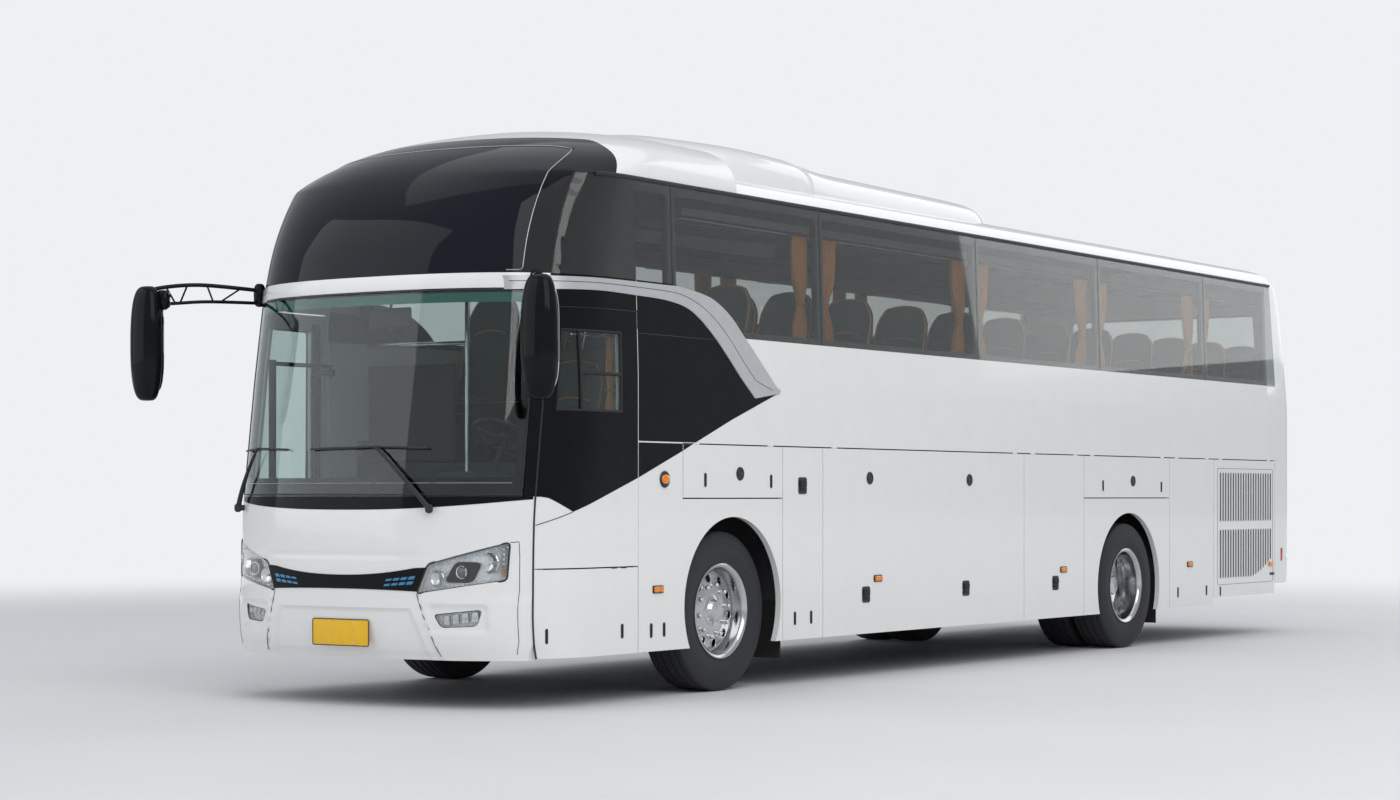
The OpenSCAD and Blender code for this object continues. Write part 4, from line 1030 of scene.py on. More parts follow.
@dataclass
class Roofing:
    """The white dome, the main roof and the roof unit."""

    dome_end: float = 2.44
    thick: float = 0.05

    def build(self) -> None:
        """Builds the roof's pieces."""
        self._dome()
        self._main()
        self._unit()
        self._rails()

    def _dome(self) -> None:
        """The white dome behind the black cap."""
        turns = [*spread(-100, -90, 6), *spread(-90, 90, 90)[1:-1], *spread(90, 100, 6)]
        def at(i: int, j: int, depth: float) -> Vector:
            """A point of the dome."""
            floor = max(3.1952, CAP_TOP(abs(turns[j])))
            z = floor + (BODY.dome_top - floor) * (i / 30)
            return BODY.skin(z, turns[j], depth, self.dome_end)
        piece = Piece("dome")
        piece.add(*sheet(30, len(turns) - 1, at, self.thick), WHITE)
        half = [(BODY.dome(z), z) for z in spread(3.200, BODY.dome_top, 30)]
        step = [*half, *[(-x, z) for x, z in reversed(half)], *reversed(self._section())]
        face = BODY.y(self.dome_end) - 0.012
        piece.add(*plate([step], 0.06, lambda x, z, out: Vector((x, face + out, z)), 0.02), WHITE)
        piece.build(slot="body_white", stands_for=("front_roof",))

    def _section(self) -> list[Point]:
        """The main roof's outline from one edge to the other."""
        heights = [3.195 + 0.23 * (1 - (1 - t) ** 2.2) for t in spread(0, 1, 26)]
        half = [(BODY.roof(z), z) for z in heights]
        return [*half, *[(-x, z) for x, z in reversed(half[:-1])]]

    def _main(self) -> None:
        """The main roof behind the dome, with the headliner under it and two roof hatches."""
        section = self._section()
        stations = spread(self.dome_end + 0.0004, BODY.wall_end, 60)
        def at(i: int, j: int, depth: float) -> Vector:
            """A point of the roof."""
            x, z = section[j]
            drop = depth * (z - BODY.rail) / (BODY.roof_top - BODY.rail)
            return Vector((math.copysign(max(0.0, abs(x) - depth), x), BODY.y(stations[i]), z - drop))
        piece = Piece("main_roof")
        piece.add(*sheet(60, len(section) - 1, at, self.thick), WHITE)
        piece.build(slot="body_white", stands_for=("roof",))
        # The headliner's dark lining colour is painted shade of the ceiling under the roof
        headliner = Piece("headliner")
        headliner.add(*sheet(60, len(section) - 1, lambda i, j, depth: at(i, j, depth + 0.0504), 0.003),
                      LINING_PAINTED_SHADE)
        headliner.build(slot="trim_plastic")
        hatches = Piece("roof_hatches")
        for station in (7.3, 9.9):
            hatches.add(*block((-0.34, BODY.y(station), 3.405), (0.34, BODY.y(station + 0.62), 3.445),
                               0.02), WHITE)
            hatches.add(*block((-0.05, BODY.y(station) - 0.02, 3.425),
                               (0.05, BODY.y(station) + 0.01, 3.44), 0.004), TRIM)
        hatches.build(slot="body_white")

    def _unit(self) -> None:
        """The roof unit: a front tier that ends in a step and a longer, lower one."""
        tiers = ((Curve((1.70, 3.535), (1.95, 3.588), (2.30, 3.632), (2.9, 3.639), (3.50, 3.618),
                        (3.62, 3.560)),
                  Curve((1.70, 0.84), (2.3, 0.96), (3.0, 1.07), (3.62, 1.10)), 1.70, 3.62, 4.2),
                 (Curve((3.60, 3.600), (4.0, 3.566), (5.0, 3.555), (6.05, 3.545), (6.25, 3.52),
                        (6.36, 3.43)),
                  Curve((3.60, 1.115), (5.0, 1.10), (6.05, 1.07), (6.36, 0.98)), 3.60, 6.36, 4.6))
        piece = Piece("roof_unit")
        for crest, width, s0, s1, power in tiers:
            def at(i: int, j: int, depth: float, crest=crest, width=width, s0=s0, s1=s1,
                   power=power) -> Vector:
                """A point of one tier of the roof unit."""
                station = s0 + (s1 - s0) * i / 60
                angle = math.pi * j / 40
                x = width(station) * math.copysign(abs(math.cos(angle)) ** 0.62, math.cos(angle))
                base = 3.20 if s0 > 2 else 3.26
                tall = crest(station) - base
                z = base + tall * math.sin(angle) ** (2 / power) if math.sin(angle) > 1e-6 else base
                return Vector((x * (1 - depth), BODY.y(station), z - depth * tall))
            piece.add(*sheet(60, 40, at, 0.03), WHITE)
        piece.build(slot="body_white", stands_for=("air_conditioner",), sharp=50)
        detail = Piece("roof_unit_details")
        for sign in (-1, 1):
            for k in range(14):
                s = 4.25 + k * 0.09
                detail.add(*block((sign * 0.35 - 0.22, BODY.y(s), 3.552), (sign * 0.35 + 0.22,
                                   BODY.y(s + 0.035), 3.568), 0.003), TRIM)
        for s in (2.35, 5.55):
            detail.add(*pillow(Vector((0, BODY.y(s), 3.62 if s < 3 else 3.545)),
                               (0.018, 0.018, 0.012), 2, 6, 12), TRIM)
        detail.build(slot="trim_plastic")

    def _rails(self) -> None:
        """The black gutter along the top of the side glass."""
        piece = Piece("gutters")
        for sign in (-1, 1):
            path = [BODY.side(s, 3.192, 0.004, sign) for s in spread(0.95, 11.42, 90)]
            piece.add(*tube(path, 0.016, 10, 0.7), TRIM)
        piece.build(slot="rubber_black")


@dataclass
class Sides:
    """Cab sides, side glass, black flash, silver sash and everything on the side panels."""

    thick: float = 0.05
    hatch_top: float = 0.821
    door_top: float = 2.436
    driver_pane: tuple[Point, ...] = ((0.560, 1.760), (1.110, 1.760), (1.110, 2.240), (0.620, 2.240))
    door_pane: tuple[Point, ...] = ((0.500, 0.760), (1.110, 0.760), (1.110, 2.330), (0.680, 2.330))
    posts: tuple[float, ...] = (1.674, 3.445, 5.689, 7.785, 9.910)
    diagonal: tuple[Point, ...] = ((0.642, 1.160), (1.305, 1.373), (1.766, 1.537), (2.318, 1.741),
                                   (2.876, 1.927))
    sash_top: Curve = Curve((0.38, 2.552), (1.301, 2.559), (1.673, 2.559), (1.883, 2.543),
                            (2.078, 2.512), (2.217, 2.46), (2.337, 2.39), (2.439, 2.307),
                            (2.582, 2.191), (2.749, 2.052), (2.855, 1.966), (2.908, 1.945))
    sash_low: Curve = Curve((0.38, 2.469), (0.926, 2.482), (1.301, 2.475), (1.522, 2.469),
                            (1.710, 2.452), (1.844, 2.422), (1.960, 2.369), (2.058, 2.309),
                            (2.157, 2.238), (2.277, 2.139), (2.418, 2.017), (2.589, 1.887))

    def build(self) -> None:
        """Builds every piece of the sides."""
        self._cab_shells()
        self._hatch()
        self._entrance_door()
        self._glass()
        self._flash()
        self._sash()
        self._joints()

    def _left(self, station: float, z: float, out: float) -> Vector:
        """A place on the left side."""
        return BODY.side(station, z, out, 1)

    def _right(self, station: float, z: float, out: float) -> Vector:
        """A place on the right side."""
        return BODY.side(station, z, out, -1)

    def _cab_outline(self, low: float, high: float, end: float) -> list[Point]:
        """The outline of a piece that follows the front corner."""
        rows = spread(low, high, 24)
        return [(end, low), (end, high), *[(BODY.start(z), z) for z in reversed(rows)]]

    def _cab_shells(self) -> None:
        """The cab sides: the left one with the driver's window."""
        piece = Piece("cab_side_shells")
        end = BODY.cab_end
        piece.add(*plate([self._cab_outline(0.829, 2.5696, end), self.driver_pane], 0.045,
                         self._left, self.thick), WHITE)
        piece.add(*plate([self._cab_outline(2.444, 2.5696, end)], 0.045, self._right, self.thick),
                  WHITE)
        for place in (self._left, self._right):
            piece.add(*plate([self._cab_outline(2.5700, 3.1946, end)], 0.045, place, 0.0416,
                             -0.0084), BLACK)
        piece.build(slot="body_white", stands_for=("cab_sides",))

    def _hatch(self) -> None:
        """The hatch under the driver's window, with its two catches."""
        piece = Piece("driver_hatch_panel")
        piece.add(*plate([self._cab_outline(0.300, self.hatch_top, BODY.cab_end - 0.004)], 0.04,
                         self._left, 0.04), WHITE)
        for s in (0.88 + 0.12, 1.10):
            low = BODY.y(s)
            piece.add(*tube([Vector((1.275, low, 0.825)), Vector((1.275, low + 0.06, 0.825))],
                            0.0036, 12), STEEL)
            piece.add(*block((1.267, low, 0.817), (1.275, low + 0.06, 0.825)), STEEL)
        piece.build("driver_hatch", "body_white", ("driver_hatch",))

    def _entrance_door(self) -> None:
        """The entrance door with its rail, brackets and seal."""
        piece = Piece("entrance_door")
        end = 1.23
        piece.add(*plate([self._cab_outline(0.330, self.door_top, end), self.door_pane], 0.045,
                         self._right, 0.04), WHITE)
        pin_y = BODY.y(1.15)
        piece.add(*block((-1.241, pin_y - 0.03, 0.72), (-1.205, pin_y + 0.03, 2.38), 0.004), STEEL)
        for z in (1.02, 2.06):
            piece.add(*turned([(0.0123, -0.02), (0.030, -0.02), (0.030, 0.02), (0.0123, 0.02)],
                              Vector((-1.095, pin_y, z)), Vector((0, 0, 1)), 40), CAST)
            piece.add(*block((-1.225, pin_y - 0.022, z - 0.018), (-1.122, pin_y + 0.022, z + 0.018),
                             0.004), CAST)
        pane = soften(self.door_pane, 0.03)
        path = [self._right(s, z, 0.001) for s, z in pane]
        piece.add(*tube([*path, path[0]], 0.007, 8), RUBBER)
        piece.add(*block((-1.20, BODY.y(1.00), 1.10), (-1.178, BODY.y(1.03), 1.55), 0.006), CHROME)
        piece.build("passenger_door", "body_white", ("passenger_door",))

    def _glass(self) -> None:
        """The bonded side glass, pane by pane."""
        piece = Piece("side_panes")
        end_low, end_high = 11.527, 11.432
        for place in (self._left, self._right):
            first = self._cab_outline(2.5704, 3.1942, BODY.cab_end - 0.0004)
            piece.add(*plate([first], 0.05, place, 0.008), SIDE_GLASS)
            panes = [corners((BODY.cab_end, 2.5704), (self.posts[0] - 0.003, 3.1946))]
            panes += [corners((a + 0.003, 2.2704), (b - 0.003, 3.1946))
                      for a, b in zip(self.posts, self.posts[1:])]
            panes.append([(self.posts[-1] + 0.003, 2.2704), (end_low, 2.2704),
                          (end_high, 3.1946), (self.posts[-1] + 0.003, 3.1946)])
            for pane in panes:
                piece.add(*plate([pane], 0.5, place, 0.008), SIDE_GLASS)
        grown = [(0.5605, 1.7605), (1.1095, 1.7605), (1.1095, 2.2395), (0.6205, 2.2395)]
        piece.add(*plate([grown], 0.05, self._left, 0.008, -0.012), DRIVER_GLASS)
        piece.build(slot="tinted_glass", stands_for=("side_glass",))
        bars = Piece("driver_window_bars")
        for path in ([(0.560, 1.760), (1.110, 1.760), (1.110, 2.240), (0.620, 2.240), (0.560, 1.760)],
                     [(0.735, 1.765), (0.735, 2.238)], [(0.735, 1.985), (1.105, 1.985)]):
            points = [self._left(a[0] + (b[0] - a[0]) * t, a[1] + (b[1] - a[1]) * t, -0.008)
                      for a, b in zip(path, path[1:]) for t in spread(0, 1, 12)]
            bars.add(*tube(points, 0.011, 8), RUBBER)
        bars.build(slot="rubber_black")

    def _flash(self) -> None:
        """The black flash under the sash, cut at each panel it runs over."""
        lift, thin = 0.0013, 0.0012
        line = self.diagonal
        top = [(s, self.sash_top(s) - 0.03) for s in spread(1.70, 2.80, 30)]
        cab = [(1.2765, straight(1.2765, line)), (1.2765, 2.5698),
               *[(BODY.start(z, 61.7), z) for z in spread(2.5698, 1.249, 30)],
               (0.440, 1.249), (0.483, 1.241), *[(a, straight(a, line)) for a in (0.642, 0.95)]]
        above = [(1.284, 1.5895), (1.284, 2.5698), (1.6705, 2.5698), *top, (2.885, 1.940),
                 (2.876, 1.927), (2.318, 1.741), (1.905, 1.5895)]
        below = [(1.2845, straight(1.2845, line)), (1.2845, 1.5805), (1.7605, 1.5805),
                 (1.7605, straight(1.7605, line))]
        corner = [(1.7695, straight(1.7695, line)), (1.7695, 1.5765),
                  (1.869, 1.5765)]
        piece = Piece("black_flash")
        piece.add(*plate([cab, self.driver_pane], 0.035, self._left, thin, lift), BLACK)
        piece.add(*plate([above], 0.1, self._left, thin, lift), BLACK)
        piece.add(*plate([below], 0.1, self._left, thin, lift), BLACK)
        # The right side mirrors it behind the entrance door
        piece.add(*plate([above], 0.1, self._right, thin, lift), BLACK)
        low_right = [(1.2845, straight(1.2845, line)), (1.2845, 1.5805), (1.868, 1.5805),
                     (1.766, 1.537)]
        piece.add(*plate([low_right], 0.1, self._right, thin, lift), BLACK)
        piece.build(slot="black_panel")
        corner_piece = Piece("black_flash_on_flap")
        corner_piece.add(*plate([corner], 0.1, self._left, thin, lift), BLACK)
        corner_piece.build("front_flap", "black_panel")
        door_piece = Piece("black_flash_on_door")
        rows = spread(1.249, 2.430, 24)
        door = [(1.2265, 1.345), (1.2265, 2.430), *[(BODY.start(z), z) for z in reversed(rows)],
                (0.440, 1.249), (0.483, 1.241), (0.551, 1.206), (0.665, 2.200), (0.690, 2.330),
                (1.100, 2.330), (1.110, 2.320), (1.110, 1.310)]
        door_piece.add(*plate([door], 0.035, self._right, thin, lift), BLACK)
        door_piece.build("passenger_door", "black_panel")

    def _sash(self) -> None:
        """The silver moulding that runs back over the cab and down into a point."""
        piece = Piece("silver_sash")
        upper = [(0.385, 2.552), *[(s, self.sash_top(s)) for s in spread(0.45, 2.855, 90)],
                 (2.893, 1.951), (2.903, 1.941), (2.890, 1.930)]
        lower = [(2.880, 1.926), *[(s, self.sash_low(s)) for s in spread(2.589, 0.45, 90)],
                 (0.385, 2.469)]
        for place in (self._left, self._right):
            piece.add(*plate([[*upper, *lower]], 0.025, place, 0.009, 0.0085), SASH)
        piece.build(slot="body_white", sharp=50)
        groove = Piece("sash_grooves")
        for place in (self._left, self._right):
            path = []
            for s in spread(0.40, 2.80, 90):
                share = 0.40 if s < 1.7 else 0.40 + 0.25 * (s - 1.7) / 1.1
                low = self.sash_low(s) if s < 2.589 else 1.887 + (s - 2.589) * 0.13
                path.append(place(s, self.sash_top(s) + (low - self.sash_top(s)) * share, 0.0080))
            groove.add(*tube(path, 0.0022, 6), TRIM)
        groove.build(slot="rubber_black")

    def _joints(self) -> None:
        """Fine dark panel joints that the flat doors don't show by themselves."""
        piece = Piece("cab_joints")
        paths = [[(0.405, 1.082), (0.642, 1.160)],
                 [(0.556, 2.371), (1.0, 2.375), (1.2765, 2.376)],
                 [(1.290, 2.246), (1.7, 2.246), (2.147, 2.246)]]
        for path in paths:
            points = [self._left(a[0] + (b[0] - a[0]) * t, a[1] + (b[1] - a[1]) * t, 0.0016)
                      for a, b in zip(path, path[1:]) for t in spread(0, 1, 20)]
            piece.add(*tube(points, 0.0022, 6), TRIM)
        for sign in (-1, 1):
            path = [BODY.skin(z, sign * 61.75, -0.0005) for z in spread(0.30, 2.56, 80)]
            piece.add(*tube(path, 0.0060, 8), TRIM)
        piece.build(slot="rubber_black")


@dataclass
class Fittings:
    """Catches, recesses, side markers, the grille and small marks on the side panels."""

    half: float = 1.275
    proud: float = 0.003

    def build(self) -> None:
        """Builds the fittings, each on the body that carries it."""
        self._group("driver_hatch_fittings", "driver_hatch", catches=((0.357, 0.438), (1.111, 0.438)))
        self._group("front_flap_fittings", "front_flap", cups=((2.418, 1.397),),
                    catches=((2.015, 1.355), (2.791, 1.35)))
        self._group("fixed_panel_fittings", ROOT, markers=((1.489, 0.679),), round_marker=(1.560, 1.357),
                    catches=((1.417, 0.429), (1.556, 0.429)))
        self._group("service_door_fittings", "service_door", catches=((3.086, 0.441), (3.292, 0.441)),
                    latches=((3.181, 1.323),))
        self._group("luggage_door_fittings", "luggage_door_left", cups=((4.073, 1.378), (5.535, 1.373)),
                    markers=((4.184, 0.679),), latches=((4.020, 0.571), (5.479, 0.574)))
        self._group("locker_door_fittings", "locker_door", markers=((7.099, 0.675),),
                    latches=((6.958, 0.573),))
        self._group("rear_flap_fittings", "rear_flap", cups=((8.397, 1.379),),
                    catches=((7.823, 1.339), (8.964, 1.332)))
        self._group("battery_door_fittings", "battery_door", markers=((9.558, 0.665),),
                    catches=((9.308, 0.43), (9.918, 0.43)))
        self._group("right_luggage_fittings", "luggage_door_right", sign=-1,
                    cups=((4.073, 1.378), (5.535, 1.373)), markers=((4.184, 0.679),),
                    latches=((4.020, 0.571), (5.479, 0.574)))
        self._group("right_panel_fittings", ROOT, sign=-1, round_marker=(1.560, 1.357),
                    markers=((1.489, 0.679), (7.099, 0.675), (9.558, 0.665)),
                    latches=((3.181, 1.323), (6.958, 0.573)))
        self._grille("radiator_grille", "radiator_door", 1)
        self._grille("right_grille", ROOT, -1)
        self._corner_reflectors()

    def _put(self, sign: int) -> Place:
        """Turns a station and a height into a place on a flat side."""
        return lambda s, z, out: Vector((sign * (self.half + out), BODY.y(s), z))

    def _group(self, name: str, body: str, sign: int = 1, cups: Sequence[Point] = (),
               catches: Sequence[Point] = (), markers: Sequence[Point] = (),
               latches: Sequence[Point] = (), round_marker: Point | None = None) -> None:
        """All fittings on one panel.

        Args:
            name: name of the piece.
            body: body that carries the panel.
            sign: 1 on the left side, -1 on the right.
            cups: round recesses with a key plate.
            catches: narrow upright catches.
            markers: amber side markers.
            latches: latch handles in square cups.
            round_marker: a round amber lamp.
        """
        piece, put = Piece(name), self._put(sign)
        for s, z in cups:
            centre = put(s, z, 0.0)
            piece.add(*turned([(0.0, 0.001), (0.030, 0.0015), (0.036, 0.006), (0.043, 0.005),
                               (0.045, -0.001), (0.0, -0.001)], centre, Vector((sign, 0, 0)), 40),
                      TRIM)
            piece.add(*block((sign * self.half - 0.002, centre.y - 0.030, z - 0.008),
                             (sign * self.half + 0.006, centre.y + 0.030, z + 0.008), 0.003), TRIM)
        for s, z in catches:
            piece.add(*plate([slot_shape((s, z), 0.026, 0.090)], 0.02, put, 0.004, self.proud), TRIM)
            piece.add(*plate([slot_shape((s, z), 0.014, 0.070)], 0.02, put, 0.003, self.proud + 0.002),
                      RUBBER)
        for s, z in markers:
            piece.add(*plate([soften(corners((s - 0.056, z - 0.024), (s + 0.056, z + 0.024)), 0.010)],
                             0.03, put, 0.006, 0.006), TRIM)
            y = BODY.y(s)
            x0, x1 = sorted((sign * (self.half + 0.002), sign * (self.half + 0.016)))
            piece.add(*block((x0, y - 0.049, z - 0.018), (x1, y + 0.010, z + 0.018), 0.007), AMBER)
            piece.add(*block((x0, y + 0.013, z - 0.018), (x1, y + 0.049, z + 0.018), 0.007), AMBER)
        for s, z in latches:
            shape = soften(corners((s - 0.052, z - 0.056), (s + 0.052, z + 0.056)), 0.020)
            piece.add(*plate([shape], 0.03, put, 0.005, 0.004), TRIM)
            y = BODY.y(s)
            x0, x1 = sorted((sign * (self.half + 0.002), sign * (self.half + 0.015)))
            piece.add(*block((x0, y - 0.040, z - 0.006), (x1, y + 0.040, z + 0.036), 0.006), RUBBER)
            piece.add(*block((x0, y - 0.034, z - 0.036), (x1 - sign * 0.004, y + 0.034, z - 0.014),
                             0.004), RUBBER)
        if round_marker:
            s, z = round_marker
            centre = put(s, z, 0.0)
            piece.add(*turned([(0.0, 0.0), (0.050, 0.0), (0.052, 0.006), (0.046, 0.012), (0.0, 0.012)],
                              centre, Vector((sign, 0, 0)), 40), TRIM)
            stretch = pillow(centre + Vector((sign * 0.010, 0, 0)), (0.014, 0.044, 0.030), 2.2, 10, 28)
            piece.add(*stretch, AMBER)
        piece.build(body, "trim_plastic")

    def _grille(self, name: str, body: str, sign: int) -> None:
        """Two rows of upright slots, with their frame line, and the marks beside them."""
        piece, put = Piece(name), self._put(sign)
        count, first, last = 21, 10.225, 11.385
        for k in range(count):
            s = first + (last - first) * k / (count - 1)
            low = 0.527 + 0.150 * max(0.0, (k - 12) / 8) ** 1.5
            for z0, z1 in ((1.031, 1.465), (low, 0.958)):
                piece.add(*plate([slot_shape((s, (z0 + z1) / 2), 0.030, z1 - z0)], 0.06, put, 0.003,
                                 0.0012), GRILLE_DARK)
                lip = [put(a, b, 0.002) for a, b in slot_shape((s, (z0 + z1) / 2), 0.034, z1 - z0 + 0.004)]
                piece.add(*tube([*lip, lip[0]], 0.0022, 5), WHITE)
        outline = soften(corners((10.16, 0.47), (11.445, 1.50)), 0.03)
        path = [put(a, b, 0.0006) for a, b in outline]
        piece.add(*tube([*path, path[0]], 0.0016, 5), TRIM)
        y = BODY.y(11.391)
        x0, x1 = sorted((sign * (self.half + 0.001), sign * (self.half + 0.014)))
        piece.add(*block((x0, y - 0.050, 0.610), (x1, y + 0.050, 0.650), 0.007), AMBER)
        piece.add(*plate([slot_shape((11.427, 0.54), 0.110, 0.024)], 0.03, put, 0.004, 0.003), TRIM)
        piece.add(*plate([slot_shape((10.225, 0.412), 0.026, 0.085)], 0.03, put, 0.004, 0.003), TRIM)
        piece.build(body, "trim_plastic")

    def _corner_reflectors(self) -> None:
        """Small red reflectors at the rear corners."""
        piece = Piece("corner_reflectors")
        for sign in (-1, 1):
            x0, x1 = sorted((sign * (self.half - 0.006), sign * (self.half + 0.006)))
            y = BODY.y(11.66)
            piece.add(*block((x0, y - 0.018, 0.655), (x1, y + 0.018, 0.775), 0.005), RED_LENS)
        piece.build(slot="lamp_red")


@dataclass
class Lamps:
    """Headlamps, fog lamps and rear lamps."""

    outline: tuple[Point, ...] = HEADLAMP
    fog: tuple[Point, ...] = FOG_LAMP

    def build(self) -> None:
        """Builds the lamps on both sides."""
        self._front()
        self._rear()

    def _front(self) -> None:
        """Headlamps and fog lamps, each with a bowl, reflectors and a lens."""
        piece = Piece("head_and_fog_lamps")
        shape = soften(self.outline, 0.026)
        fog = soften(self.fog, 0.026)
        for sign in (-1, 1):
            def place(x: float, z: float, out: float, sign: int = sign) -> Vector:
                """A point of the front on this side."""
                return BODY.front(sign * x, z, out)
            def well(x: float, z: float, out: float, sign: int = sign) -> Vector:
                """A point of the fog lamp's sunk place on this side."""
                return BODY.front(sign * x, z, out - 0.014)
            piece.add(*plate([shape], 0.03, place, 0.006, -0.042), REFLECTOR)
            piece.add(*plate([fog], 0.03, well, 0.006, -0.030), REFLECTOR)
            self._rim(piece, place, shape, 0.0055)
            self._rim(piece, well, fog, 0.0045)
            self._projector(piece, place, (0.815, 0.808))
            self._reflector(piece, place, (0.672, 0.770), 0.046)
            self._reflector(piece, place, (0.958, 0.862), 0.058)
            for k in range(9):
                t = k / 8
                spot = place(0.640 + t * 0.395, 0.843 + t * 0.112, -0.024)
                piece.add(*pillow(spot, (0.010, 0.006, 0.007), 2.2, 6, 12), LAMP_BULB)
            for k in range(8):
                t = k / 7
                spot = place(0.590 + t * 0.44, 0.700 + t * 0.070, -0.024)
                piece.add(*pillow(spot, (0.009, 0.006, 0.006), 2.2, 6, 12), LAMP_BULB)
            for k in range(6):
                spot = place(1.018, 0.800 + k * 0.028, -0.026)
                piece.add(*pillow(spot, (0.009, 0.008, 0.010), 2.4, 6, 10), AMBER if k < 2 else LAMP_BULB)
            for k in range(4):
                a = 0.705 + k * 0.052
                fin = [(a, 0.500 + k * 0.006), (a + 0.036, 0.502 + k * 0.006),
                       (a + 0.034, 0.556 + k * 0.006), (a + 0.004, 0.552 + k * 0.006)]
                piece.add(*plate([soften(fin, 0.006)], 0.02, well, 0.010, -0.014), CHROME)
                piece.add(*pillow(well(a + 0.019, 0.528 + k * 0.006, -0.012), (0.010, 0.007, 0.014),
                                  2.4, 6, 12), LAMP_BULB)
            piece.add(*plate([shape], 0.022, place, 0.004, 0.001), LAMP_LENS)
            piece.add(*plate([fog], 0.022, well, 0.004, 0.001), LAMP_LENS)
        piece.build(slot="lamp_glass", stands_for=("front_lamps",))

    def _rim(self, piece: Piece, place: Place, shape: Sequence[Point], radius: float) -> None:
        """The dark edge round a lamp."""
        path = [place(x, z, 0.0) for x, z in shape]
        piece.add(*tube([*path, path[0]], radius, 8), TRIM)

    def _projector(self, piece: Piece, place: Place, at: Point) -> None:
        """A black bezel with a bright ring and a glass ball."""
        x, z = at
        bezel = [(x - 0.105, z - 0.060), (x + 0.050, z - 0.062), (x + 0.100, z + 0.058),
                 (x - 0.040, z + 0.062)]
        piece.add(*plate([soften(bezel, 0.035)], 0.025, place, 0.006, -0.028), BLACK)
        centre = place(x, z, -0.024)
        ahead = (place(x, z, 0.01) - centre).normalized()
        piece.add(*turned([(0.030, 0.0), (0.040, 0.0), (0.041, 0.012), (0.036, 0.016), (0.031, 0.012)],
                          centre, ahead, 40), CHROME)
        piece.add(*pillow(centre + ahead * 0.006, (0.029, 0.014, 0.029), 2, 12, 28), PROJECTOR)

    def _reflector(self, piece: Piece, place: Place, at: Point, size: float) -> None:
        """A round bright bowl with a bulb."""
        centre = place(at[0], at[1], -0.020)
        ahead = (place(at[0], at[1], 0.01) - centre).normalized()
        profile = [(size, 0.0), (size * 0.8, -0.010), (size * 0.5, -0.017), (0.008, -0.020),
                   (0.008, -0.024), (size * 0.6, -0.022), (size * 1.06, -0.004)]
        piece.add(*turned(profile, centre, ahead, 36), CHROME)
        piece.add(*pillow(centre - ahead * 0.008, (0.009, 0.012, 0.009), 2, 8, 14), LAMP_BULB)

    def _rear(self) -> None:
        """Tall rear lamps with round red, amber and clear lenses, and the upper markers."""
        piece = Piece("rear_lamp_clusters")
        for sign in (-1, 1):
            def at(i: int, j: int, depth: float, sign: int = sign) -> Vector:
                """A point of a lamp's housing."""
                share = i / 20
                waist = 0.5 * (1 - (2 * share - 1) ** 6)
                turn = 52.5 + (j / 6 - 0.5) * 15 * (0.85 + 0.3 * waist)
                return BODY.stern(0.9 + 0.5 * share, sign * turn, -0.0063 + depth)
            piece.add(*sheet(20, 6, at, 0.0059), TRIM)
            for k, finish in enumerate((RED_LENS, AMBER, RED_LENS, LAMP_BULB)):
                z = 0.965 + k * 0.123
                centre = BODY.stern(z, sign * 52.5, -0.004)
                near = BODY.stern(z, sign * 54.5, -0.004)
                along = (near - centre).normalized()
                ahead = along.cross(Vector((0, 0, 1))) * -sign
                if ahead.y < 0:
                    ahead = -ahead
                piece.add(*turned([(0.0, 0.0), (0.049, 0.0), (0.050, 0.004), (0.044, 0.010),
                                   (0.022, 0.0125), (0.0, 0.013)], centre, ahead.normalized(), 36), finish)
                piece.add(*turned([(0.049, 0.0), (0.054, 0.0), (0.054, 0.006), (0.050, 0.008)],
                                  centre, ahead.normalized(), 36), CHROME)
            for z in (3.05,):
                spot = BODY.stern(z, sign * 40, -0.002)
                piece.add(*pillow(spot, (0.060, 0.012, 0.018), 3.5, 8, 24), RED_LENS)
        spot = BODY.stern(3.12, 0, -0.002)
        piece.add(*pillow(spot, (0.19, 0.012, 0.016), 4, 8, 28), RED_LENS)
        piece.build(slot="lamp_red", stands_for=("rear_lamps",))


